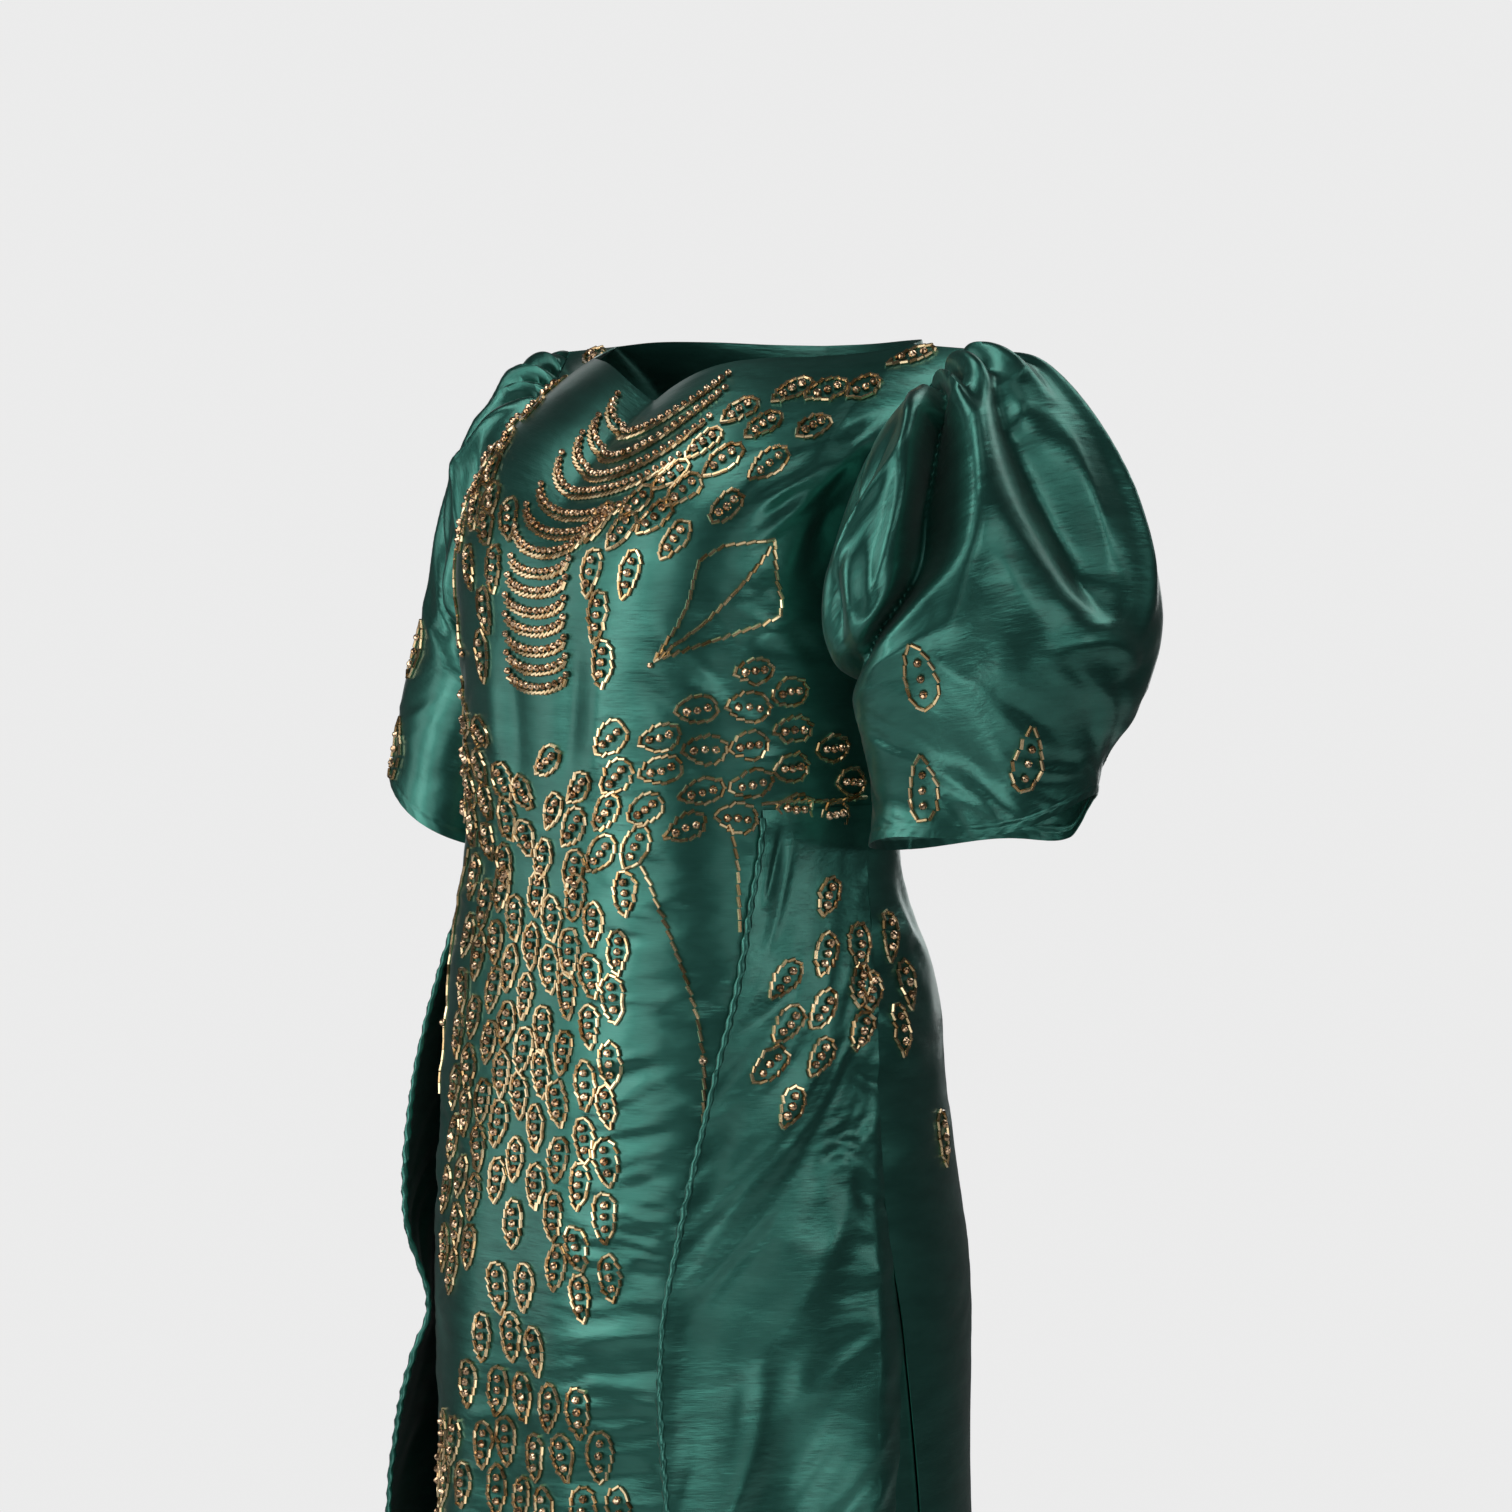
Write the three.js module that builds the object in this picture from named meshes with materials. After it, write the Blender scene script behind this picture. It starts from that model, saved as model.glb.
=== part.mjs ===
// A long satin gown in its worn, hollow shape: a sweetheart neckline, wide gathered puff sleeves
// to the elbow, a straight front from neck to hem, and two overskirt panels that part over it.
// Millimetres, +Z up. The origin is the middle of the shoulder line, the front faces -Y, and the
// wearer's left is +X. Each piece that is cut and sewn is one closed solid.
import * as THREE from "three";

// Cloth and seams
const WALL = 1.4; // thickness of every cloth wall
const SEAM = 0.3; // gap between two pieces where they are sewn
const LAYER = 2.1; // outer face of a layer above the outer face of the one it lies on
const EDGE_ROLL = 1.5; // how far the rolled edge of the overskirt stands proud
const EDGE_WIDTH = 4; // half the width of that roll

// Heights
const UNDERARM = -178;
const WAIST = -295;
// Levels of the skirt's rows, closest where the far overskirt edge pulls in.
const SKIRT_LEVELS = [
  -1400, -1270, -1130, -1000, -880, -770, -722, -672, -640, -610, -580, -530, -465, -405, -345, WAIST,
];

// The shoulder seam runs from the neckline out to the top of the armhole.
const NECK_POINT = { x: 150, y: 0, z: 0 };
const SHOULDER_POINT = { x: 200, y: 0, z: -3 };
const NECK_SHARE = 0.78; // share of a panel's half width, at the top, that is neckline

// Sections seen from above: half width, the y of the side seam, of the front and of the back,
// and how square the front and the back are (2 is an ellipse).
const SECTIONS = [
  { z: -1400, half: 236, side: -28, front: -246, back: 142, squareFront: 2.1, squareBack: 2.1 },
  { z: -1000, half: 206, side: -28, front: -230, back: 116, squareFront: 2.2, squareBack: 2.1 },
  { z: -762, half: 190, side: -30, front: -220, back: 101, squareFront: 2.2, squareBack: 2.1 },
  { z: -630, half: 186, side: -42, front: -216, back: 108, squareFront: 2.3, squareBack: 2.1 },
  { z: -564, half: 180, side: -50, front: -212, back: 107, squareFront: 2.4, squareBack: 2.1 },
  { z: -498, half: 174, side: -52, front: -206, back: 95, squareFront: 2.5, squareBack: 2.1 },
  { z: -412, half: 166, side: -48, front: -198, back: 79, squareFront: 2.6, squareBack: 2.1 },
  { z: -330, half: 152, side: -42, front: -189, back: 40, squareFront: 2.8, squareBack: 2.2 },
  { z: -250, half: 155, side: -32, front: -189, back: 43, squareFront: 2.8, squareBack: 2.4 },
  { z: -178, half: 163, side: -15, front: -190, back: 57, squareFront: 2.9, squareBack: 2.6 },
];

// Half of the neckline, from the centre to the neck point.
const NECK_FRONT = [
  { x: 0, y: -92, z: -37 },
  { x: 20, y: -92, z: -27 },
  { x: 40, y: -88, z: -18 },
  { x: 60, y: -81, z: -12 },
  { x: 85, y: -70, z: -9 },
  { x: 112, y: -51, z: -8 },
  { x: 136, y: -25, z: -5 },
  NECK_POINT,
];
const NECK_BACK = [
  { x: 0, y: 58, z: 0 },
  { x: 50, y: 54, z: 1 },
  { x: 100, y: 42, z: 3 },
  { x: 135, y: 22, z: 3 },
  NECK_POINT,
];

// The left armhole between the underarm and the shoulder point.
const ARMHOLE_FRONT = [
  { x: 158, y: -44, z: -154 },
  { x: 159, y: -60, z: -115 },
  { x: 169, y: -59, z: -74 },
  { x: 188, y: -25, z: -30 },
];
const ARMHOLE_BACK = [
  { x: 160, y: 14, z: -158 },
  { x: 162, y: 32, z: -115 },
  { x: 171, y: 34, z: -74 },
  { x: 188, y: 18, z: -30 },
];
const CHEST_FULLNESS = 2.2; // power by which the chest leaves the bust line and leans back
const SHOULDER_ROUND = 0.6; // how much the cloth rounds over towards the shoulder seam
const BLADE_RISE = 9; // fullness over the shoulder blades

// The front edge of the left overskirt panel: its x, and how far it stands off the front on
// either side. The right one swings out at the hip, pulls in at the thigh and flares again.
const OVERSKIRT_EDGE = [
  { z: -1400, x: 162, offLeft: 26, offRight: 40 },
  { z: -1100, x: 148, offLeft: 24, offRight: 37 },
  { z: -770, x: 130, offLeft: 22, offRight: 33 },
  { z: -722, x: 126.5, offLeft: 20, offRight: 28 },
  { z: -672, x: 123.5, offLeft: 18, offRight: 16 },
  { z: -640, x: 123.2, offLeft: 16, offRight: 5 },
  { z: -610, x: 124, offLeft: 14, offRight: 12 },
  { z: -580, x: 127, offLeft: 12, offRight: 20 },
  { z: -530, x: 132, offLeft: 9, offRight: 21 },
  { z: -465, x: 138.5, offLeft: 7, offRight: 17 },
  { z: -405, x: 143, offLeft: 5, offRight: 9 },
  { z: -345, x: 140.5, offLeft: 3.2, offRight: 3.6 },
  { z: -295, x: 141, offLeft: 2.6, offRight: 2.6 },
];
const OFF_FADE = 1.6; // power by which the stand-off fades towards the side seam

// Soft vertical folds that open towards the hem: waves round the skirt, and their phase.
const SKIRT_FOLDS = [
  { waves: 7, phase: 0.6, share: 1 },
  { waves: 11, phase: 2.1, share: 0.55 },
  { waves: 13, phase: 4.0, share: 0.3 },
];
const FOLD_DEPTH = [
  { z: -1400, depth: 13 },
  { z: -1000, depth: 8 },
  { z: -770, depth: 3.5 },
  { z: -600, depth: 1.2 },
  { z: -450, depth: 0 },
  { z: -295, depth: 0 },
];

// The left sleeve as rings: the point on its outer line, the one on its underarm line, and how
// deep it is to the front and to the back. The share runs from the armhole seam to the hem.
const SLEEVE_RINGS = [
  { s: 0.0, outX: 200, outY: 0, outZ: -3, underX: 163, underY: -15, underZ: -178, fore: 55, aft: 50 },
  { s: 0.12, outX: 221, outY: 4, outZ: 0, underX: 168, underY: -22, underZ: -187, fore: 84, aft: 74 },
  { s: 0.25, outX: 250, outY: 11, outZ: -19, underX: 171, underY: -30, underZ: -196, fore: 104, aft: 86 },
  { s: 0.38, outX: 276, outY: 18, outZ: -55, underX: 173, underY: -34, underZ: -205, fore: 113, aft: 93 },
  { s: 0.5, outX: 297, outY: 24, outZ: -106, underX: 174, underY: -34, underZ: -214, fore: 110, aft: 95 },
  { s: 0.62, outX: 309, outY: 28, outZ: -162, underX: 175, underY: -30, underZ: -226, fore: 102, aft: 93 },
  { s: 0.72, outX: 307, outY: 27, outZ: -206, underX: 175, underY: -24, underZ: -243, fore: 97, aft: 84 },
  { s: 0.82, outX: 294, outY: 21, outZ: -238, underX: 174, underY: -20, underZ: -266, fore: 86, aft: 74 },
  { s: 0.92, outX: 283, outY: 14, outZ: -260, underX: 171, underY: -18, underZ: -296, fore: 75, aft: 68 },
  { s: 1.0, outX: 281, outY: 10, outZ: -279, underX: 167, underY: -17, underZ: -324, fore: 74, aft: 66 },
];
const SLEEVE_SQUARE = 2.15; // section of the puff, where 2 is an ellipse
const ARMHOLE_BLEND = 0.22; // share of the sleeve over which it leaves the armhole's shape
// The right sleeve is pushed back and hangs further out and forward towards its hem, which tips.
const RIGHT_SWING = { out: 34, fore: 30, liftOut: 0, dropUnder: 22, from: 0.4 };
const RIGHT_FULLNESS = { fore: 0.68, aft: 1.12, until: 0.55 };
// Where the hem of a sleeve sags: behind the arm on both, and in front on the left one.
const HEM_SAGS = [
  { angle: -60, across: 30, dropLeft: 27, dropRight: 27 },
  { angle: 36, across: 50, dropLeft: 24, dropRight: 0 },
];
const SAG_FROM = 0.72; // share of the sleeve below which the hem's sag begins
const BODY_CLEARANCE = 4; // least gap between a sleeve and the side of the bodice

// Pleats pressed into the sleeve cap, spread over the top of the armhole.
const CAP_PLEATS = { count: 9, spread: 85, rise: 5.5, peak: 0.12, end: 0.5 };
// Large lobes and valleys of the puff: where round the sleeve (0 is the outer line and 90 the
// front), where along it, their half widths, and how far they rise or sink.
const PUFF_FOLDS = [
  { angle: 40, s: 0.2, acrossAngle: 9, acrossS: 0.13, rise: -15 },
  { angle: 64, s: 0.42, acrossAngle: 14, acrossS: 0.15, rise: -20 },
  { angle: 84, s: 0.34, acrossAngle: 9, acrossS: 0.14, rise: 9 },
  { angle: 101, s: 0.38, acrossAngle: 6, acrossS: 0.1, rise: -7 },
  { angle: 120, s: 0.4, acrossAngle: 11, acrossS: 0.14, rise: 9 },
  { angle: 126, s: 0.63, acrossAngle: 22, acrossS: 0.04, rise: -8 },
  { angle: 44, s: 0.56, acrossAngle: 15, acrossS: 0.14, rise: 6 },
  { angle: 12, s: 0.36, acrossAngle: 10, acrossS: 0.17, rise: -9 },
  { angle: -9, s: 0.42, acrossAngle: 9, acrossS: 0.15, rise: 5 },
  { angle: -40, s: 0.26, acrossAngle: 9, acrossS: 0.14, rise: -6 },
  { angle: -70, s: 0.36, acrossAngle: 11, acrossS: 0.18, rise: -9 },
  { angle: -104, s: 0.4, acrossAngle: 14, acrossS: 0.18, rise: -7 },
];

// Grid of each piece
const FRONT_COLUMNS = 32;
const BACK_COLUMNS = 28;
const OVERSKIRT_COLUMNS = 9;
const WAIST_ROWS = 4;
const CHEST_ROWS = 7;
const CAP_COLUMNS = 36;
const UNDER_COLUMNS = 20;
const CAP_ANGLE = 180; // degrees of the armhole that the finer cap columns cover
const SLEEVE_SHARES = [0, 0.05, 0.1, 0.16, 0.23, 0.31, 0.4, 0.5, 0.6, 0.68, 0.76, 0.84, 0.92, 1];

const SATIN = { color: 0x0f4a3c, roughness: 0.34, metalness: 0.25 };

const radians = THREE.MathUtils.degToRad;
const lerp = THREE.MathUtils.lerp;

// Every column of a table at a value of its key column, on a smooth curve through the rows.
function read(table, key, at) {
  const last = table.length - 1;
  let i = 0;
  while (i < last - 1 && at > table[i + 1][key]) i += 1;
  const [before, a, b, after] = [table[Math.max(i - 1, 0)], table[i], table[i + 1], table[Math.min(i + 2, last)]];
  const span = b[key] - a[key];
  const t = THREE.MathUtils.clamp((at - a[key]) / span, 0, 1);
  const row = {};
  for (const column of Object.keys(a)) {
    const slopeA = ((b[column] - before[column]) / (b[key] - before[key])) * span;
    const slopeB = ((after[column] - a[column]) / (after[key] - a[key])) * span;
    row[column] =
      (2 * t ** 3 - 3 * t ** 2 + 1) * a[column] +
      (t ** 3 - 2 * t ** 2 + t) * slopeA +
      (3 * t ** 2 - 2 * t ** 3) * b[column] +
      (t ** 3 - t ** 2) * slopeB;
  }
  return row;
}

const vector = ({ x, y, z }) => new THREE.Vector3(x, y, z);
const curve = (points) => new THREE.CatmullRomCurve3(points.map(vector), false, "centripetal");
const mirrored = (point) => point.clone().setX(-point.x);
const steps = (from, to, count) => Array.from({ length: count + 1 }, (_, i) => lerp(from, to, i / count));

function foldDepth(z, angle) {
  const wave = SKIRT_FOLDS.reduce((sum, f) => sum + f.share * Math.cos(f.waves * angle + f.phase), 0);
  return Math.max(read(FOLD_DEPTH, "z", z).depth, 0) * wave;
}

// A point of the body of the gown. Angle 0 is the left side seam, -90 degrees the centre front.
function bodyPoint(z, angle) {
  const row = read(SECTIONS, "z", z);
  const isFront = Math.sin(angle) < 0;
  const depth = isFront ? row.side - row.front : row.back - row.side;
  const power = isFront ? row.squareFront : row.squareBack;
  const across = Math.abs(Math.cos(angle)) / row.half;
  const along = Math.abs(Math.sin(angle)) / depth;
  const radius = (across ** power + along ** power) ** (-1 / power) + foldDepth(z, angle);
  return new THREE.Vector3(radius * Math.cos(angle), row.side + radius * Math.sin(angle), z);
}

// A point of the body, moved out level by a distance.
function bodyPointOut(z, angle, distance) {
  const step = 1e-3;
  const along = bodyPoint(z, angle + step).sub(bodyPoint(z, angle - step));
  return bodyPoint(z, angle).add(new THREE.Vector3(along.y, -along.x, 0).setLength(distance));
}

const underarmPoint = bodyPoint(UNDERARM, 0);
const armholeFront = curve([underarmPoint, ...ARMHOLE_FRONT, SHOULDER_POINT]);
const armholeBack = curve([underarmPoint, ...ARMHOLE_BACK, SHOULDER_POINT]);

// The top edge of a panel at t, from -1 at one shoulder point through 0 at the centre to 1.
function topEdge(neckline, t) {
  const at = Math.abs(t);
  const shoulder = (at - NECK_SHARE) / (1 - NECK_SHARE);
  const point =
    at <= NECK_SHARE
      ? neckline.getPointAt(at / NECK_SHARE)
      : vector(NECK_POINT).lerp(vector(SHOULDER_POINT), shoulder);
  return t < 0 ? mirrored(point) : point;
}

// Chest or upper back: between the bust line below, the neckline above and the armholes beside.
function chestPoint(face, t, v) {
  const at = Math.abs(t);
  const leanBack = v ** CHEST_FULLNESS;
  const climb = lerp(v, Math.sin((v * Math.PI) / 2), SHOULDER_ROUND * at * at);
  const between = (low, high) =>
    new THREE.Vector3(lerp(low.x, high.x, leanBack), lerp(low.y, high.y, leanBack), lerp(low.z, high.z, climb));
  const turn = (x) => (face === "front" ? radians(90 * (x - 1)) : radians(90 * (1 - x)));
  const point = between(bodyPoint(UNDERARM, turn(t)), topEdge(necklines[face], t));
  const armhole = (face === "front" ? armholeFront : armholeBack).getPointAt(v);
  const plain = between(underarmPoint, vector(SHOULDER_POINT));
  const pull = armhole.sub(plain).multiplyScalar(at * at);
  point.add(t < 0 ? mirrored(pull) : pull);
  if (face === "back") point.y += BLADE_RISE * Math.sin(Math.PI * v) ** 2 * (1 - at ** 4);
  return point;
}
const necklines = { front: curve(NECK_FRONT), back: curve(NECK_BACK) };

// Closed solid from rows of outer points: the same points moved in by the wall, and the rim.
// Rows run upwards and columns anticlockwise as seen from above, so that the faces point out.
function clothGeometry(rows, { closed = false, proud = () => 0, upright = () => false } = {}) {
  const [rowCount, columnCount] = [rows.length, rows[0].length];
  const at = (j, i) => {
    const column = closed ? (i + columnCount) % columnCount : THREE.MathUtils.clamp(i, 0, columnCount - 1);
    return rows[THREE.MathUtils.clamp(j, 0, rowCount - 1)][column];
  };
  const positions = [];
  const outer = (j, i) => j * columnCount + (i % columnCount);
  const inner = (j, i) => outer(j, i) + rowCount * columnCount;
  const normals = rows.map((row, j) =>
    row.map((_, i) => {
      const across = at(j, i + 1).clone().sub(at(j, i - 1));
      const up = at(j + 1, i).clone().sub(at(j - 1, i));
      const normal = across.cross(up);
      return (upright(j, i) ? normal.setY(0) : normal).normalize();
    }),
  );
  rows.forEach((row, j) =>
    row.forEach((p, i) => positions.push(...p.clone().addScaledVector(normals[j][i], proud(j, i)))),
  );
  rows.forEach((row, j) => row.forEach((p, i) => positions.push(...p.clone().addScaledVector(normals[j][i], -WALL))));

  const faces = [];
  const quad = (a, b, c, d) => faces.push(a, b, c, a, c, d);
  const lastColumn = closed ? columnCount : columnCount - 1;
  for (let j = 0; j < rowCount - 1; j += 1) {
    for (let i = 0; i < lastColumn; i += 1) {
      quad(outer(j, i), outer(j, i + 1), outer(j + 1, i + 1), outer(j + 1, i));
      quad(inner(j, i), inner(j + 1, i), inner(j + 1, i + 1), inner(j, i + 1));
    }
  }
  for (let i = 0; i < lastColumn; i += 1) {
    const top = rowCount - 1;
    quad(outer(0, i), inner(0, i), inner(0, i + 1), outer(0, i + 1));
    quad(outer(top, i), outer(top, i + 1), inner(top, i + 1), inner(top, i));
  }
  if (!closed) {
    const side = columnCount - 1;
    for (let j = 0; j < rowCount - 1; j += 1) {
      quad(outer(j, 0), outer(j + 1, 0), inner(j + 1, 0), inner(j, 0));
      quad(outer(j, side), inner(j, side), inner(j + 1, side), outer(j + 1, side));
    }
  }
  const geometry = new THREE.BufferGeometry();
  geometry.setAttribute("position", new THREE.Float32BufferAttribute(positions, 3));
  geometry.setIndex(faces);
  geometry.computeVertexNormals();
  return geometry;
}

// The angle that half a seam takes up at the side of a section.
const seamAngle = (z) => SEAM / 2 / read(SECTIONS, "z", z).half;
const bodiceLevels = steps(WAIST, UNDERARM, WAIST_ROWS);
const chestShares = steps(0, 1, CHEST_ROWS);

// Points of one row of a panel that runs from side seam to side seam.
function panelRow(face, z, columns, out = 0) {
  const [from, to] = face === "front" ? [-Math.PI, 0] : [0, Math.PI];
  const gap = seamAngle(z);
  return steps(from + gap, to - gap, columns).map((angle) => bodyPointOut(z, angle, out));
}

// Rows of the chest or upper back, drawn in by half a seam at the armholes and shoulders.
function chestRows(face, columns) {
  const turned = face === "front" ? 1 : -1;
  return chestShares.slice(1).map((v) =>
    steps(-turned, turned, columns).map((t) => {
      const point = chestPoint(face, t, v);
      point.x -= (Math.sign(t) * (Math.abs(t) ** 8) * SEAM) / 2;
      const isShoulder = v === 1 && Math.abs(t) > NECK_SHARE - 0.02;
      if (isShoulder) point.y -= (turned * SEAM) / 2;
      return point;
    }),
  );
}

function frontRows() {
  const levels = [...SKIRT_LEVELS, ...bodiceLevels.slice(1)];
  return [...levels.map((z) => panelRow("front", z, FRONT_COLUMNS)), ...chestRows("front", FRONT_COLUMNS)];
}

function backBodiceRows() {
  const levels = [WAIST + SEAM / 2, ...bodiceLevels.slice(1)];
  return [...levels.map((z) => panelRow("back", z, BACK_COLUMNS)), ...chestRows("back", BACK_COLUMNS)];
}

function backSkirtRows() {
  const levels = [...SKIRT_LEVELS.slice(0, -1), WAIST - SEAM / 2];
  return levels.map((z) => panelRow("back", z, BACK_COLUMNS, LAYER));
}

// The angle at which the body of the gown has a given x, between the centre front and the side.
function angleAtX(z, x) {
  let [low, high] = [-Math.PI / 2, 0];
  for (let i = 0; i < 40; i += 1) {
    const middle = (low + high) / 2;
    if (bodyPoint(z, middle).x < x) low = middle;
    else high = middle;
  }
  return low;
}

// One overskirt panel. Its first columns lie close together, along the rolled front edge.
function overskirtRows(side) {
  const rows = SKIRT_LEVELS.map((z) => {
    const edge = read(OVERSKIRT_EDGE, "z", z);
    const off = side > 0 ? edge.offLeft : edge.offRight;
    const start = angleAtX(z, edge.x);
    const end = -seamAngle(z);
    const radius = bodyPoint(z, start).length();
    const roll = EDGE_WIDTH / radius / (end - start);
    const shares = [0, roll, 2 * roll, ...steps(2 * roll, 1, OVERSKIRT_COLUMNS).slice(1)];
    return shares.map((share) => {
      const angle = lerp(start, end, share);
      const stand = LAYER + (off - LAYER) * (1 - share) ** OFF_FADE;
      return bodyPointOut(z, side > 0 ? angle : -Math.PI - angle, stand);
    });
  });
  return side > 0 ? rows : rows.map((row) => row.reverse());
}

// How far the pleats and the large folds of the puff lift the cloth, round and along a sleeve.
function puffRise(s, angle) {
  const turn = THREE.MathUtils.euclideanModulo(angle + 180, 360) - 180;
  const { count, spread, rise, peak, end } = CAP_PLEATS;
  const rampUp = THREE.MathUtils.smoothstep(s, 0, peak);
  const rampDown = 1 - THREE.MathUtils.smoothstep(s, peak, end);
  const inCap = 1 - THREE.MathUtils.smoothstep(Math.abs(turn), spread * 0.8, spread * 1.1);
  const pleat = rise * rampUp * rampDown * inCap * Math.cos((turn / spread) * count * Math.PI);
  const folds = PUFF_FOLDS.reduce((sum, fold) => {
    const across = (turn - fold.angle) / fold.acrossAngle;
    const along = (s - fold.s) / fold.acrossS;
    return sum + fold.rise * Math.exp(-(across ** 2) - along ** 2);
  }, 0);
  return pleat + folds;
}

// A point of the left sleeve's armhole seam: angle 0 is the shoulder point, 90 the front.
function armholePoint(angle) {
  const turn = THREE.MathUtils.euclideanModulo(angle, 360);
  const point =
    turn <= 180 ? armholeFront.getPointAt(1 - turn / 180) : armholeBack.getPointAt((turn - 180) / 180);
  return point.add(new THREE.Vector3(SEAM * 2.6, 0, SEAM));
}

// A point of a sleeve, drawn as a left one.
function sleevePoint(side, s, angle) {
  const ring = read(SLEEVE_RINGS, "s", s);
  const outer = new THREE.Vector3(ring.outX, ring.outY, ring.outZ);
  const under = new THREE.Vector3(ring.underX, ring.underY, ring.underZ);
  const centre = outer.clone().add(under).multiplyScalar(0.5);
  const half = outer.clone().sub(under).multiplyScalar(0.5);
  const turn = radians(angle);
  const [c, f] = [Math.cos(turn), Math.sin(turn)];
  const radius = (Math.abs(c) ** SLEEVE_SQUARE + Math.abs(f) ** SLEEVE_SQUARE) ** (-1 / SLEEVE_SQUARE);
  const isFore = f > 0;
  let depth = isFore ? ring.fore : ring.aft;
  if (side < 0) {
    const full = isFore ? RIGHT_FULLNESS.fore : RIGHT_FULLNESS.aft;
    depth *= lerp(full, 1, THREE.MathUtils.smoothstep(s, RIGHT_FULLNESS.until, 1));
  }
  const spoke = half.multiplyScalar(c).add(new THREE.Vector3(0, -depth * f, 0)).multiplyScalar(radius);
  const point = centre.add(spoke).addScaledVector(spoke.clone().normalize(), puffRise(s, angle));
  if (side < 0) {
    const { out, fore, liftOut, dropUnder, from } = RIGHT_SWING;
    const tip = lerp(-dropUnder, liftOut, (1 + c) / 2);
    point.addScaledVector(new THREE.Vector3(out, -fore, tip), THREE.MathUtils.smoothstep(s, from, 1));
  }
  const sag = HEM_SAGS.reduce((sum, row) => {
    const apart = (THREE.MathUtils.euclideanModulo(angle - row.angle + 180, 360) - 180) / row.across;
    return sum + (side > 0 ? row.dropLeft : row.dropRight) * Math.exp(-(apart ** 2));
  }, 0);
  point.z -= sag * THREE.MathUtils.smoothstep(s, SAG_FROM, 1);
  const leave = THREE.MathUtils.smoothstep(s, 0, ARMHOLE_BLEND);
  const blended = armholePoint(angle).lerp(point, leave);
  return s > 0 ? clearOfBody(blended, Math.min(s / 0.1, 1) * BODY_CLEARANCE) : blended;
}

// Below the underarm a sleeve stays a little outside the body of the gown.
function clearOfBody(point, clearance) {
  if (point.z > UNDERARM + 6) return point;
  const row = read(SECTIONS, "z", Math.min(point.z, UNDERARM));
  const angle = Math.atan2(point.y - row.side, point.x);
  const least = bodyPointOut(point.z, angle, clearance).x;
  return point.setX(Math.max(point.x, least));
}

function sleeveRows(side) {
  const half = CAP_ANGLE / 2;
  const angles = [
    ...steps(-half, half, CAP_COLUMNS),
    ...steps(half, 360 - half, UNDER_COLUMNS).slice(1, -1),
  ];
  const rows = [...SLEEVE_SHARES].reverse().map((s) =>
    angles.map((angle) => {
      const point = sleevePoint(side, s, angle);
      return side > 0 ? point : mirrored(point);
    }),
  );
  return side > 0 ? rows.map((row) => row.reverse()) : rows;
}

const gown = new THREE.Group();
function addPiece(name, rows, options) {
  const mesh = new THREE.Mesh(clothGeometry(rows, options), new THREE.MeshStandardMaterial(SATIN));
  mesh.name = name;
  gown.add(mesh);
}
const rolledAt = (column) => (_, i) => (i === column ? EDGE_ROLL : 0);
// The wall stands upright at the shoulder seam, where two pieces meet edge to edge.
const shoulderAt = (rows) => (j, i) => {
  const share = Math.abs((2 * i) / (rows[0].length - 1) - 1);
  return j === rows.length - 1 && share > NECK_SHARE;
};
const [frontCloth, backCloth] = [frontRows(), backBodiceRows()];
addPiece("front", frontCloth, { upright: shoulderAt(frontCloth) });
addPiece("back_bodice", backCloth, { upright: shoulderAt(backCloth) });
addPiece("back_skirt", backSkirtRows());
addPiece("overskirt_left", overskirtRows(1), { proud: rolledAt(1) });
addPiece("overskirt_right", overskirtRows(-1), { proud: rolledAt(OVERSKIRT_COLUMNS + 1) });
addPiece("sleeve_left", sleeveRows(1), { closed: true });
addPiece("sleeve_right", sleeveRows(-1), { closed: true });

export default gown;
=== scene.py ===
# Satin gown in its worn, hollow shape, with glass beadwork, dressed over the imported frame.
# Lengths in the tables are millimetres. The front faces -Y and the wearer's left is +X.
import math

import bpy
import numpy as np
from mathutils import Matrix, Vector


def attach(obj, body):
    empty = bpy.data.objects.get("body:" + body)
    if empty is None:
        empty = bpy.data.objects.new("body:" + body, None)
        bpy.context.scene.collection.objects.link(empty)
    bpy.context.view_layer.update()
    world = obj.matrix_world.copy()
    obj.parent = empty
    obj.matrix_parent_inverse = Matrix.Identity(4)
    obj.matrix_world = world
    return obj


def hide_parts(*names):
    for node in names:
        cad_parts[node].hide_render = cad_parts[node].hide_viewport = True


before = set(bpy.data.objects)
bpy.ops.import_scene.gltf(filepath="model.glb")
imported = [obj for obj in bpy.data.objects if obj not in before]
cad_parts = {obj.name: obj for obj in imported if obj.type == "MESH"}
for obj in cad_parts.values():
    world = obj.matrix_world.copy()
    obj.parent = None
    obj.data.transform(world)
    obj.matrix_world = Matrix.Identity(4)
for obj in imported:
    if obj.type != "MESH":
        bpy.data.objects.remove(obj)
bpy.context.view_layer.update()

METRE = 0.001
random = np.random.default_rng(11)


def table(names, *rows):
    """Columns of a table by name."""
    return {name: np.array(column, float) for name, column in zip(names.split(), zip(*rows))}


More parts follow.
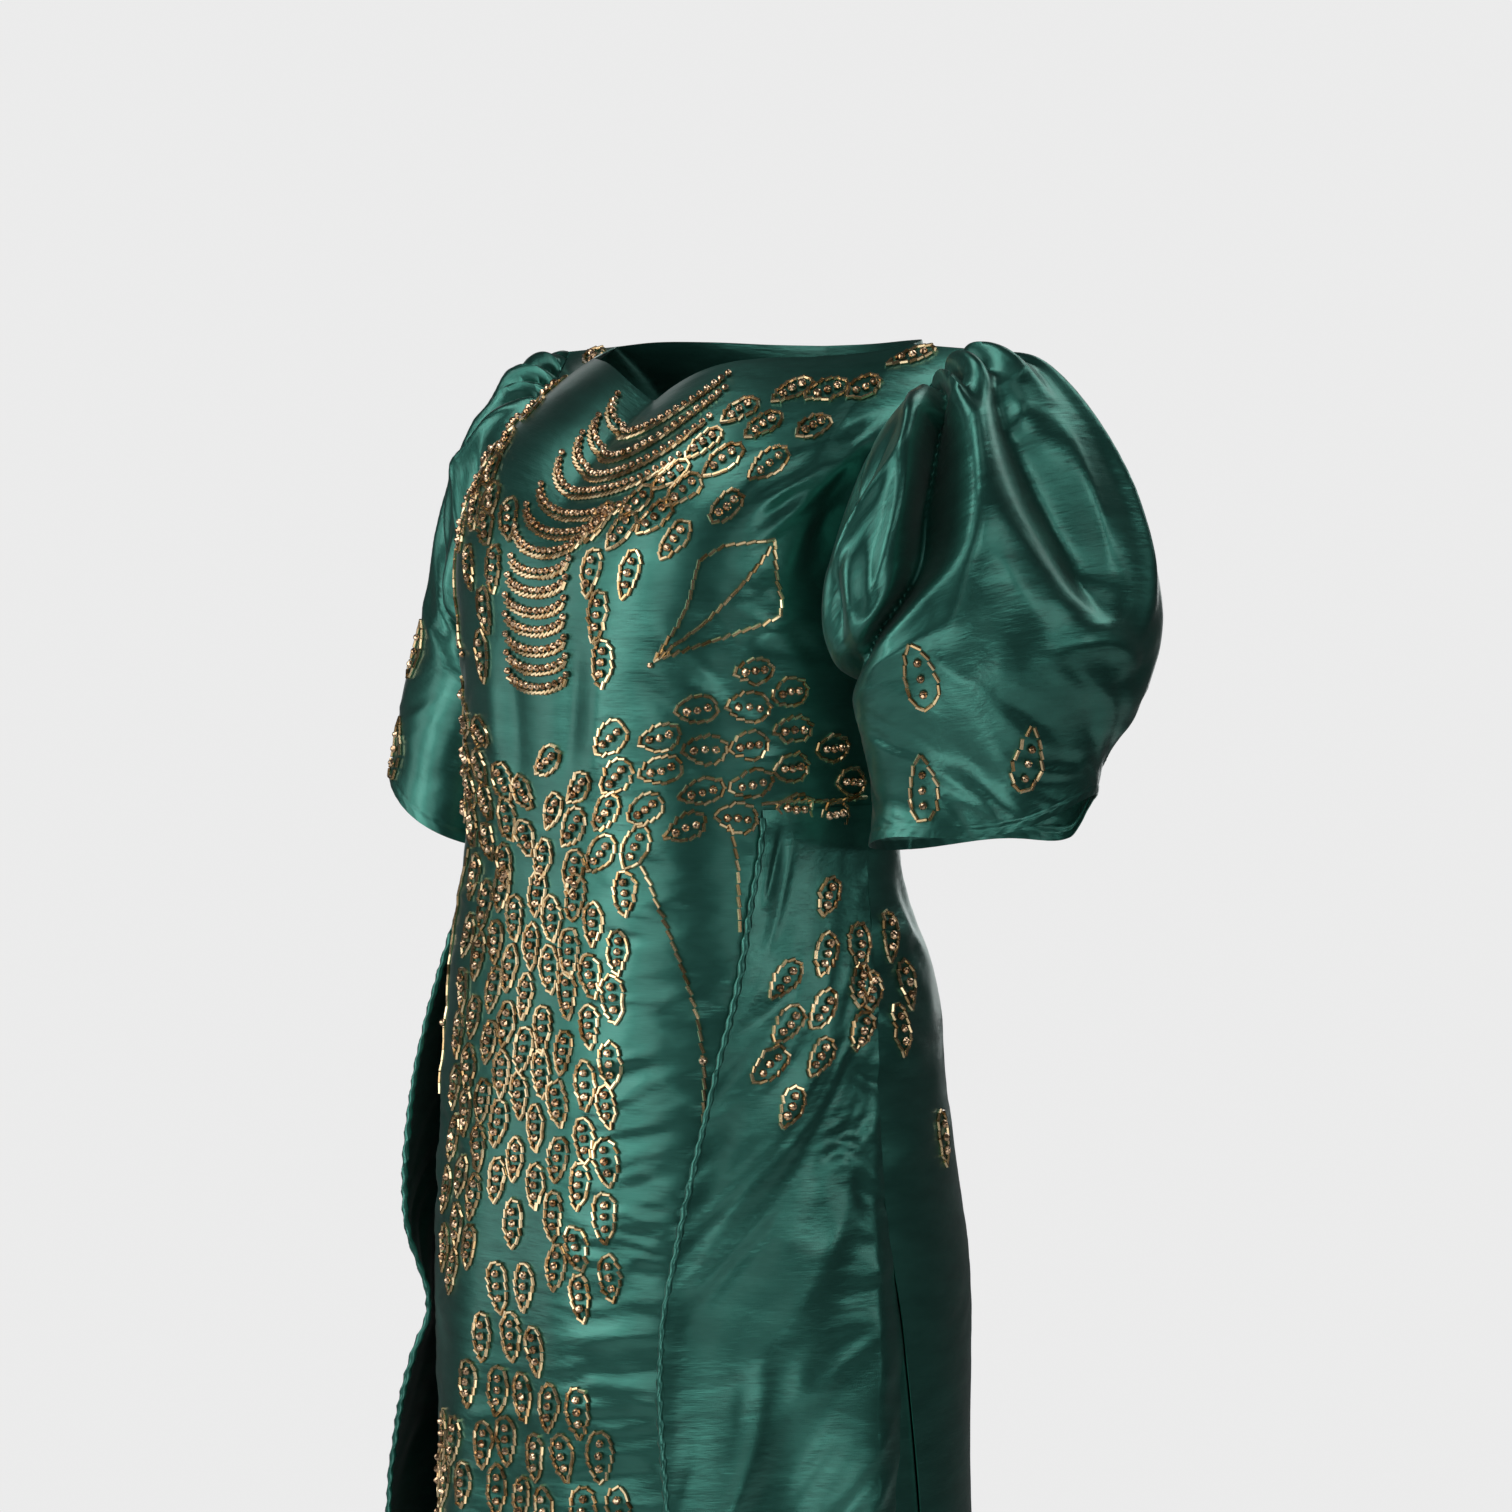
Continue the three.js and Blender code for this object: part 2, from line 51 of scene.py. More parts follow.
# The body of the gown, as in the CAD
UNDERARM = -178
WAIST = -295
HEM = -1400
SEAM = 0.3  # between two pieces
LAYER = 2.1  # from the body out to a skirt piece that lies on it
CHEST_SPAN = 170
CHEST_FULLNESS = 2.2
SHOULDER_ROUND = 0.6
BLADE_RISE = 9  # how far the shoulder blades stand out
NECK_SHARE = 0.78  # of the top edge, up to the neck point
OFF_FADE = 1.6  # how fast an overskirt's stand fades from its edge
WAIST_TUCK = {"depth": 1.1, "span": 7}  # how skirt pieces draw in under the waist seam
SECTIONS = table(
    "z half side front back square_front square_back",
    (-1400, 236, -28, -246, 142, 2.1, 2.1),
    (-1000, 206, -28, -230, 116, 2.2, 2.1),
    (-762, 190, -30, -220, 101, 2.2, 2.1),
    (-630, 186, -42, -216, 108, 2.3, 2.1),
    (-564, 180, -50, -212, 107, 2.4, 2.1),
    (-498, 174, -52, -206, 95, 2.5, 2.1),
    (-412, 166, -48, -198, 79, 2.6, 2.1),
    (-330, 152, -42, -189, 40, 2.8, 2.2),
    (-250, 155, -32, -189, 43, 2.8, 2.4),
    (-178, 163, -15, -190, 57, 2.9, 2.6),
)
NECK_POINT = (150, 0, 0)
SHOULDER_POINT = (200, 0, -3)
NECK_FRONT = [(0, -92, -37), (20, -92, -27), (40, -88, -18), (60, -81, -12)]
NECK_FRONT += [(85, -70, -9), (112, -51, -8), (136, -25, -5), NECK_POINT]
NECK_BACK = [(0, 58, 0), (50, 54, 1), (100, 42, 3), (135, 22, 3), NECK_POINT]
ARMHOLE_FRONT = [(158, -44, -154), (159, -60, -115), (169, -59, -74), (188, -25, -30), SHOULDER_POINT]
ARMHOLE_BACK = [(160, 14, -158), (162, 32, -115), (171, 34, -74), (188, 18, -30), SHOULDER_POINT]
OVERSKIRT_EDGE = table(
    "z x off_left off_right",
    (-1400, 162, 26, 40),
    (-1100, 148, 24, 37),
    (-770, 130, 22, 33),
    (-722, 126.5, 20, 28),
    (-672, 123.5, 18, 16),
    (-640, 123.2, 16, 5),
    (-610, 124, 14, 12),
    (-580, 127, 12, 20),
    (-530, 132, 9, 21),
    (-465, 138.5, 7, 17),
    (-405, 143, 5, 9),
    (-345, 140.5, 3.2, 3.6),
    (-295, 141, 2.6, 2.6),
)
SKIRT_FOLDS = table("waves phase share", (7, 0.6, 1), (11, 2.1, 0.55), (13, 4.0, 0.3))
FOLD_DEPTH = table("z depth", (-1400, 13), (-1000, 8), (-770, 3.5), (-600, 1.2), (-450, 0), (-295, 0))

# The left sleeve as rings from the armhole seam to the hem, as in the CAD
SLEEVE_RINGS = table(
    "s out_x out_y out_z under_x under_y under_z fore aft",
    (0.0, 200, 0, -3, 163, -15, -178, 55, 50),
    (0.12, 221, 4, 0, 168, -22, -187, 84, 74),
    (0.25, 250, 11, -19, 171, -30, -196, 104, 86),
    (0.38, 276, 18, -55, 173, -34, -205, 113, 93),
    (0.5, 297, 24, -106, 174, -34, -214, 110, 95),
    (0.62, 309, 28, -162, 175, -30, -226, 102, 93),
    (0.72, 307, 27, -206, 175, -24, -243, 97, 84),
    (0.82, 294, 21, -238, 174, -20, -266, 86, 74),
    (0.92, 283, 14, -260, 171, -18, -296, 75, 68),
    (1.0, 281, 10, -279, 167, -17, -324, 74, 66),
)
SLEEVE_SQUARE = 2.15
ARMHOLE_BLEND = 0.22
RELIEF_FROM = 0.035  # share along at which folds are at full height
ARMHOLE_OFF = (SEAM * 2.6, 0, SEAM)  # from the bodice to the sleeve
RIGHT_SWING = {"out": 34, "fore": 30, "drop_under": 22, "begin": 0.4}
RIGHT_FULLNESS = {"fore": 0.68, "aft": 1.12, "until": 0.55}
HEM_SAGS = table("angle back fore drop_left drop_right", (-84, 34, 16, 18, 18), (36, 50, 50, 24, 0))
SAG_FROM = 0.72
BODY_CLEARANCE = {"most": 4, "full_at": 0.1, "above_underarm": 6}  # of a sleeve beside the body
AROUND = 1.75  # millimetres of puff to a degree
ALONG = 380  # millimetres of sleeve from seam to hem

# Folds of a sleeve. Each runs down it: where round it in degrees, how wide and how high it is at a
# share along. A height below nothing is a trough.
SLEEVE_FOLDS = [
    table("s angle width height", *rows)
    for rows in (
        ((0, 27, 2, 0), (0.08, 31, 3, -8), (0.16, 35, 7, -22), (0.26, 41, 11, -40), (0.37, 49, 14, -48),
         (0.46, 59, 16, -44), (0.515, 70, 17, -34), (0.555, 88, 16, -24), (0.585, 104, 14, -12),
         (0.62, 116, 11, 0)),
        ((0.12, 43, 4, 0), (0.2, 49, 7, 5), (0.29, 57, 9, 7), (0.38, 64, 10, 7), (0.44, 75, 10, 5),
         (0.5, 90, 9, 0)),
        ((0.1, 29, 4, 0), (0.2, 34, 7, 4), (0.3, 38, 10, 6), (0.4, 40, 11, 6), (0.48, 46, 12, 6),
         (0.56, 56, 13, 4), (0.63, 66, 13, 2), (0.7, 72, 12, 0)),
        ((0.14, 22, 10, 0), (0.25, 28, 15, 3), (0.36, 32, 18, 5), (0.48, 37, 23, 7), (0.6, 42, 28, 4),
         (0.72, 48, 28, 0)),
        ((0.14, 12, 4, 0), (0.22, 16, 6, -5), (0.3, 19, 9, -9), (0.38, 20, 15, -13), (0.46, 17, 22, -17),
         (0.54, 11, 25, -19), (0.59, 8, 22, -16), (0.625, 7, 16, -7), (0.65, 7, 11, 0)),
        ((0.34, 3, 5, 0), (0.43, 1, 7, 2.5), (0.51, -2, 8, 2.5), (0.58, -4, 8, 0)),
        ((0.1, -7, 5, 0), (0.22, -11, 8, 4), (0.36, -17, 9, 5), (0.48, -24, 9, 6), (0.55, -26, 10, 5),
         (0.62, -22, 11, 3), (0.68, -14, 12, 0)),
        ((0, -17, 4, -3), (0.08, -20, 6, -6), (0.2, -25, 8, -4), (0.36, -31, 10, 0)),
        ((0, -30, 4, -3), (0.1, -36, 7, -6), (0.26, -44, 12, -6), (0.45, -49, 14, -4), (0.6, -52, 14, 0)),
        ((0, -46, 4, -3), (0.1, -56, 8, -9), (0.3, -71, 13, -14), (0.5, -80, 15, -8), (0.64, -86, 14, 0)),
        ((0, -64, 4, -2), (0.12, -81, 9, -8), (0.3, -104, 14, -12), (0.48, -113, 15, -7),
         (0.6, -118, 14, 0)),
        ((0.04, -40, 4, 1), (0.14, -47, 8, 4), (0.34, -58, 11, 7), (0.56, -66, 15, 0)),
        ((0.05, -68, 5, 1), (0.2, -84, 9, 5), (0.36, -92, 11, 5), (0.56, -98, 14, 0)),
        ((0.01, 20, 2.5, -3), (0.08, 22, 3, -9), (0.17, 25, 4, -11), (0.25, 28, 5, -6), (0.31, 30, 6, 0)),
        ((0.05, 17, 3, 0), (0.14, 18, 5, 5), (0.22, 19, 6, 5), (0.3, 20, 6, 0)),
        ((0.01, 10, 2.5, -3), (0.08, 11, 4, -10), (0.16, 12, 5, -11), (0.26, 13, 6, 0)),
        ((0.05, 5, 3, 0), (0.14, 4, 5, 5), (0.24, 3, 6, 4), (0.34, 2, 7, 0)),
        ((0, -5, 2.5, -3), (0.06, -6, 4, -9), (0.14, -6, 5, -8), (0.24, -5, 6, 0)),
        ((0, 46, 4, -2), (0.08, 64, 8, -7), (0.16, 82, 10, -8), (0.24, 98, 11, -3), (0.32, 108, 12, 0)),
    )
]
# How steep the banks of the first, deepest fold and of the others are
CLEFT_BANK = 2.3
FOLD_BANK = 1.7
# The right sleeve's folds: degrees further round, and share of the height
RIGHT_FOLDS = {"lean": 9, "share": 0.8}
# The sewn hem of a sleeve, measured from its edge
SLEEVE_HEM = {"thick": 0.5, "full": 8, "gone": 12, "stitch": 9.5, "groove": 1.2}
PUCKER = {"height": 0.08, "pitch": 2.6, "slant": 0.5, "full": 9, "gone": 14}
# Short creases of a sleeve: middle in degrees round and share along, length, tilt from level, half
# width, height and bow
CREASE_NAMES = "x y length tilt width height bow"
SLEEVE_CREASES = table(
    CREASE_NAMES,
    (78, 0.315, 110, -14, 8, 6, 0.2),
    (82, 0.235, 110, -10, 13, -8, 0.2),
    (98, 0.47, 96, -72, 10, 7, 0.1),
    (110, 0.43, 100, -74, 15, -10, 0),
    (86, 0.45, 70, -68, 11, -4, 0.1),
    (132, 0.585, 150, 3, 15, -17, 0.1),
    (86, 0.615, 110, -8, 9, 4, 0.1),
    (8, 0.672, 104, 4, 10, 5.5, -0.45),
    (7, 0.25, 22, -60, 5, 3, 0),
    (15, 0.34, 30, -65, 6, 3, 0),
    (60, 0.70, 90, 38, 7, 1.8, 0.2),
    (40, 0.76, 110, 33, 6, -2.0, 0.1),
    (30, 0.82, 80, 30, 6, 1.7, 0.1),
    (52, 0.86, 70, 35, 6, -1.6, -0.1),
    (14, 0.74, 70, 25, 7, 1.6, 0.2),
    (-20, 0.72, 90, -20, 8, -2.0, 0.1),
    (-48, 0.8, 80, -35, 7, 1.8, 0),
    (-84, 0.7, 90, -12, 7, -2.2, 0.2),
    (168, 0.72, 90, 10, 7, -2.0, 0),
    (-120, 0.78, 80, 20, 7, 2.0, 0.1),
    (8, 0.88, 60, 22, 6, -1.2, 0),
)

# Creases of the front, in millimetres from the centre front and the shoulder
FRONT_CREASES = table(
    CREASE_NAMES,
    (214, -92, 90, 20, 10, 4.5, -0.5),
    (222, -116, 90, 28, 12, -5, -0.4),
    (196, -124, 70, 40, 8, 2.5, -0.3),
    (110, -196, 80, -38, 8, 2.0, 0.2),
    (122, -214, 90, -35, 8, -2.0, 0.1),
    (140, -222, 80, -30, 7, 1.8, 0.1),
    (100, -226, 60, -42, 6, -1.4, 0),
    (160, -180, 70, 30, 8, 1.6, 0.1),
    (150, -160, 60, 26, 6, -1.5, 0),
    (182, -196, 70, -12, 8, -2.0, 0.2),
    (206, -240, 70, 8, 7, 2.0, 0),
    (212, -270, 80, -5, 7, -2.2, 0),
    (170, -262, 60, 4, 5, 1.2, 0),
    (32, -232, 130, 86, 12, -2.6, 0),
    (56, -236, 120, 88, 12, 2.0, 0),
    (-36, -230, 120, 92, 12, -2.4, 0),
    (-60, -240, 110, 88, 12, 1.8, 0),
    (100, -330, 40, -8, 5, -1.2, 0),
    (110, -352, 46, 9, 5, 1.2, 0),
    (108, -398, 62, 8, 5, 1.2, 0.1),
    (124, -426, 70, -14, 6, -1.4, 0),
    (96, -452, 54, 20, 5, 1.2, 0.2),
    (132, -474, 46, -24, 5, 1.3, 0),
    (104, -502, 80, 11, 6, -1.5, 0.1),
    (128, -532, 50, -10, 5, 1.0, 0),
    (98, -558, 76, 17, 7, 1.3, 0.1),
    (118, -592, 60, -13, 5, -1.3, 0),
    (90, -628, 84, 6, 7, 1.4, 0.1),
    (112, -674, 60, -17, 6, 1.2, 0),
    (84, -718, 90, 13, 8, -1.5, 0),
    (78, -790, 90, 8, 8, -1.6, 0),
    (40, -930, 120, -12, 12, 2.2, 0.1),
    (-30, -1060, 140, 10, 13, -2.4, 0.1),
    (90, -1120, 120, 14, 12, 2.4, 0),
    (10, -1220, 150, -8, 14, -2.6, 0.1),
)
BACK_CREASES = table(
    CREASE_NAMES,
    (70, -120, 90, 30, 10, 2.0, 0.2),
    (-84, -134, 80, -34, 10, -2.2, 0.1),
    (20, -215, 110, 10, 8, -2.0, 0.1),
    (-40, -236, 100, -8, 7, 2.0, 0),
    (110, -206, 70, -30, 8, 2.4, 0),
    (-130, -222, 80, 26, 8, -2.4, 0),
    (60, -262, 120, 5, 7, 2.0, 0.1),
    (-20, -278, 90, -4, 6, -1.6, 0),
    (150, -268, 70, 12, 7, -2.0, 0),
    (-170, -262, 70, -10, 7, 2.0, 0),
)
BACK_SKIRT_CREASES = table(
    CREASE_NAMES,
    (40, -420, 130, 62, 12, 2.4, 0.1),
    (-60, -500, 160, 70, 13, -2.6, 0.1),
    (110, -560, 180, 74, 14, 2.6, 0.1),
    (-140, -430, 120, -64, 11, 2.0, 0.1),
    (150, -420, 110, 40, 9, -2.0, 0),
    (0, -700, 220, 78, 16, -2.8, 0.1),
    (-110, -820, 220, 82, 15, 2.6, 0),
    (90, -960, 240, -80, 16, -3.0, 0.1),
    (-30, -1180, 240, 84, 18, 3.0, 0),
    (170, -1150, 220, 78, 16, 2.6, 0),
    (200, -520, 90, 20, 8, 1.8, 0),
    (212, -620, 80, -14, 8, -1.8, 0),
    (-222, -376, 70, -30, 8, 3.0, 0.2),
    (-214, -402, 80, 24, 8, -3.0, 0.1),
    (-220, -440, 90, -38, 9, 3.2, 0.2),
    (-208, -474, 70, -8, 8, -2.6, 0),
    (-216, -520, 80, 20, 9, 2.2, 0),
)
OVERSKIRT_CREASES = table(
    CREASE_NAMES,
    (22, -330, 60, 84, 5, -2.4, 0.1),
    (34, -350, 90, 78, 7, 1.6, 0.1),
    (112, -840, 1000, 82, 16, 6.5, 0),
    (142, -830, 900, 82, 14, -4.5, 0),
    (80, -470, 130, 48, 13, 2.4, 0.1),
    (60, -560, 170, 52, 15, -3.2, 0.1),
    (92, -600, 190, 54, 13, 3.2, 0.2),
    (58, -700, 200, 58, 17, 3.0, 0.1),
    (94, -760, 170, 50, 16, -3.4, 0.2),
    (66, -850, 80, 76, 6, 2.0, 0),
    (82, -866, 90, 70, 7, -2.2, 0),
    (92, -900, 180, 60, 17, 3.2, 0.1),
    (40, -940, 180, 74, 15, -2.8, 0),
    (96, -1040, 220, 80, 16, -3.4, 0.1),
    (60, -1120, 240, 78, 18, 3.4, 0),
    (30, -1240, 200, 84, 16, -3.0, 0),
    (110, -1260, 200, 84, 16, 3.0, 0),
    (40, -420, 90, 30, 9, -1.6, 0),
    (150, -432, 70, 22, 7, 2.4, 0.2),
    (156, -470, 80, -16, 8, -2.6, 0.2),
    (146, -505, 60, 30, 7, 2.2, 0.1),
    (154, -545, 70, -24, 8, -2.2, 0),
    (148, -590, 60, 14, 7, 1.8, 0),
)

# Patches of many small uneven creases: middle, reach, length and spacing of a crease, tilt and height
CRUMPLE_NAMES = "x y reach_x reach_y long short tilt height"
FRONT_CRUMPLES = table(
    CRUMPLE_NAMES,
    (112, -560, 62, 220, 66, 18, 16, 2.4),
    (112, -540, 62, 230, 48, 12, -9, 1.7),
    (-112, -560, 62, 220, 66, 18, -14, 2.2),
    (-112, -560, 62, 220, 50, 13, 8, 1.5),
    (60, -900, 160, 220, 100, 26, 7, 3.0),
    (20, -1150, 220, 240, 130, 36, 12, 3.4),
    (165, -225, 60, 70, 62, 18, -34, 2.4),
    (-165, -225, 60, 70, 62, 18, 34, 2.2),
    (100, -310, 90, 50, 70, 17, -24, 1.5),
    (-100, -310, 90, 50, 70, 17, 24, 1.4),
    (190, -110, 50, 60, 54, 17, 30, 2.0),
    (120, -90, 60, 40, 50, 16, -34, 1.2),
)
BACK_CRUMPLES = table(CRUMPLE_NAMES, (0, -235, 250, 70, 70, 16, 4, 1.3), (0, -100, 200, 70, 80, 26, 10, 1.0))
BACK_SKIRT_CRUMPLES = table(
    CRUMPLE_NAMES,
    (0, -480, 200, 200, 90, 26, 40, 1.6),
    (0, -1000, 280, 380, 140, 36, 80, 2.2),
    (-212, -430, 40, 120, 55, 20, -24, 3.4),
    (212, -430, 40, 120, 55, 20, 24, 3.4),
)
OVERSKIRT_CRUMPLES = table(
    CRUMPLE_NAMES,
    (150, -470, 40, 120, 50, 18, 12, 3.0),
    (85, -680, 90, 260, 110, 30, 54, 3.6),
    (85, -1150, 120, 280, 140, 34, 76, 3.4),
)
SLEEVE_CRUMPLES = table(
    CRUMPLE_NAMES,
    (60, -315, 180, 56, 74, 15, 32, 3.0),
    (20, -230, 90, 60, 80, 20, 62, 1.6),
    (-190, -290, 160, 90, 80, 20, -20, 1.8),
)

# Grid and thickness of the cloth shells
THICKNESS = 0.7
RIM = UNDERARM + CHEST_SPAN
LEVELS = {
    "front": ((HEM, -800, 92), (-800, -300, 214), (-300, RIM, 100)),
    "back_bodice": ((WAIST + SEAM / 2, RIM, 90),),
    "back_skirt": ((HEM, WAIST - SEAM / 2, 210),),
    "overskirt": ((HEM, -850, 90), (-850, WAIST, 170)),
    "sleeve": ((0, 0.13, 22), (0.13, 0.68, 78), (0.68, 0.955, 32), (0.955, 1, 12)),
}
COLUMNS = {"front": 112, "back_bodice": 70, "back_skirt": 100, "overskirt": 60, "sleeve": 240}


def read(rows, key, at, name):
    """A column of a table on a smooth curve through its rows."""
    keys, values = rows[key], rows[name]
    last = len(keys) - 1
    at = np.asarray(at, float)
    i = np.clip(np.searchsorted(keys, at, side="right") - 1, 0, last - 1)
    before, after = np.maximum(i - 1, 0), np.minimum(i + 2, last)
    span = keys[i + 1] - keys[i]
    t = np.clip((at - keys[i]) / span, 0, 1)
    slope_a = (values[i + 1] - values[before]) / (keys[i + 1] - keys[before]) * span
    slope_b = (values[after] - values[i]) / (keys[after] - keys[i]) * span
    hold = (2 * t**3 - 3 * t**2 + 1) * values[i] + (3 * t**2 - 2 * t**3) * values[i + 1]
    return hold + (t**3 - 2 * t**2 + t) * slope_a + (t**3 - t**2) * slope_b


def smoothstep(at, low, high):
    t = np.clip((at - low) / (high - low), 0, 1)
    return t * t * (3 - 2 * t)


def unit(vectors):
    return vectors / np.maximum(np.linalg.norm(vectors, axis=-1, keepdims=True), 1e-9)


def stack(x, y, z):
    return np.stack(np.broadcast_arrays(x, y, z), axis=-1).astype(float)


def curve(points, samples=60):
    """Fine points of a centripetal Catmull-Rom curve, and their share of its length."""
    p = np.array(points, float)
    p = np.vstack([2 * p[0] - p[1], p, 2 * p[-1] - p[-2]])
    fine = []
    for i in range(1, len(p) - 2):
        gaps = [np.linalg.norm(p[i + k + 1] - p[i + k]) ** 0.5 for k in (-1, 0, 1)]
        into, here, on = p[i] - p[i - 1], p[i + 1] - p[i], p[i + 2] - p[i + 1]
        start = into / gaps[0] - (p[i + 1] - p[i - 1]) / (gaps[0] + gaps[1]) + here / gaps[1]
        end = here / gaps[1] - (p[i + 2] - p[i]) / (gaps[1] + gaps[2]) + on / gaps[2]
        t = np.linspace(0, 1, samples, endpoint=False)[:, None]
        start, end = start * gaps[1], end * gaps[1]
        cubic = 2 * p[i] - 2 * p[i + 1] + start + end
        fine.append(p[i] + start * t + (3 * here - 2 * start - end) * t**2 + cubic * t**3)
    fine = np.vstack([*fine, p[-2]])
    length = np.concatenate([[0], np.cumsum(np.linalg.norm(np.diff(fine, axis=0), axis=1))])
    return fine, length / length[-1]


def curve_at(line, share):
    fine, shares = line
    return np.stack([np.interp(share, shares, fine[:, k]) for k in range(3)], axis=-1)


def section(z, name):
    return read(SECTIONS, "z", z, name)


def body(z, angle):
    """A point of the body. Angle 0 is the left side seam, minus a quarter turn the centre front."""
    sine, cosine = np.sin(angle), np.cos(angle)
    side = section(z, "side")
    is_front = sine < 0
    depth = np.where(is_front, side - section(z, "front"), section(z, "back") - side)
    power = np.where(is_front, section(z, "square_front"), section(z, "square_back"))
    size = (np.abs(cosine) / section(z, "half")) ** power + (np.abs(sine) / depth) ** power
    waves = sum(
        share * np.cos(count * angle + phase)
        for count, phase, share in zip(SKIRT_FOLDS["waves"], SKIRT_FOLDS["phase"], SKIRT_FOLDS["share"])
    )
    radius = size ** (-1 / power) + np.maximum(read(FOLD_DEPTH, "z", z, "depth"), 0) * waves
    return stack(radius * cosine, side + radius * sine, z)


TURN_STEP = 1e-3  # radians, for slopes round the body


def body_out(z, angle, distance):
    """A point of the body, moved out level by a distance."""
    along = body(z, angle + TURN_STEP) - body(z, angle - TURN_STEP)
    out = unit(stack(along[..., 1], -along[..., 0], 0))
    return body(z, angle) + out * np.asarray(distance)[..., None]


UNDERARM_POINT = body(np.array(float(UNDERARM)), np.array(0.0))
NECKLINES = {"front": curve(NECK_FRONT), "back": curve(NECK_BACK)}
ARMHOLES = {"front": curve([UNDERARM_POINT, *ARMHOLE_FRONT]), "back": curve([UNDERARM_POINT, *ARMHOLE_BACK])}


def top_edge(face, t):
    """The top edge of a panel, from -1 at one shoulder point through 0 at the centre to 1."""
    at = np.abs(t)
    neck = curve_at(NECKLINES[face], np.clip(at / NECK_SHARE, 0, 1))
    share = np.clip((at - NECK_SHARE) / (1 - NECK_SHARE), 0, 1)[..., None]
    shoulder = np.array(NECK_POINT) * (1 - share) + np.array(SHOULDER_POINT) * share
    point = np.where((at <= NECK_SHARE)[..., None], neck, shoulder)
    point[..., 0] *= np.where(t < 0, -1, 1)
    return point


def turn_of(face, t):
    """The angle of the body at t across a face."""
    return (t - 1) * math.pi / 2 * (1 if face == "front" else -1)


def chest(face, t, v):
    """Chest or upper back, from the bust line to the neckline."""
    at = np.abs(t)
    lean = v**CHEST_FULLNESS
    climb = v + (np.sin(v * math.pi / 2) - v) * SHOULDER_ROUND * at * at
    shares = stack(lean, lean, climb)
    low = body(np.full_like(t, UNDERARM), turn_of(face, t))
    point = low + (top_edge(face, t) - low) * shares
    plain = UNDERARM_POINT + (np.array(SHOULDER_POINT) - UNDERARM_POINT) * shares
    pull = (curve_at(ARMHOLES[face], v) - plain) * (at * at)[..., None]
    pull[..., 0] *= np.where(t < 0, -1, 1)
    point += pull
    if face == "back":
        point[..., 1] += BLADE_RISE * np.sin(math.pi * v) ** 2 * (1 - at**4)
    return point


def panel(face):
    """The front, or the back bodice, at t across it and a height along it."""

    def point(t, h):
        v = np.clip((h - UNDERARM) / CHEST_SPAN, 0, 1)
        low = body(np.minimum(h, UNDERARM), turn_of(face, t))
        return np.where((h <= UNDERARM)[..., None], low, chest(face, t, v))

    return point


EDGE_LEVELS = np.linspace(HEM, WAIST, 260)
HALVINGS = 40  # enough to find an angle exactly


def edge_angles():
    """The angle of the body under the overskirt's front edge, at each level."""
    low, high = np.full_like(EDGE_LEVELS, -math.pi / 2), np.zeros_like(EDGE_LEVELS)
    x = read(OVERSKIRT_EDGE, "z", EDGE_LEVELS, "x")
    for _ in range(HALVINGS):
        middle = (low + high) / 2
        is_low = body(EDGE_LEVELS, middle)[..., 0] < x
        low, high = np.where(is_low, middle, low), np.where(is_low, high, middle)
    return low


EDGE_ANGLES = edge_angles()


def waist_tuck(h):
    return WAIST_TUCK["depth"] * smoothstep(h, WAIST - WAIST_TUCK["span"], WAIST)


def overskirt(side):
    """A panel of the overskirt, at a share from its front edge to the side seam and a height."""

    def point(share, h):
        off = read(OVERSKIRT_EDGE, "z", h, "off_left" if side > 0 else "off_right")
        start = np.interp(h, EDGE_LEVELS, EDGE_ANGLES)
        angle = start * (1 - share)
        stand = LAYER + (off - LAYER) * np.clip(1 - share, 0, 1) ** OFF_FADE - waist_tuck(h)
        return body_out(h, angle if side > 0 else -math.pi - angle, stand)

    return point


def back_skirt(angle, h):
    return body_out(h, angle, LAYER - waist_tuck(h))


def armhole(angle):
    turn = np.mod(angle, 360)
    fore = curve_at(ARMHOLES["front"], np.clip(1 - turn / 180, 0, 1))
    aft = curve_at(ARMHOLES["back"], np.clip(turn / 180 - 1, 0, 1))
    return np.where((turn <= 180)[..., None], fore, aft) + np.array(ARMHOLE_OFF)


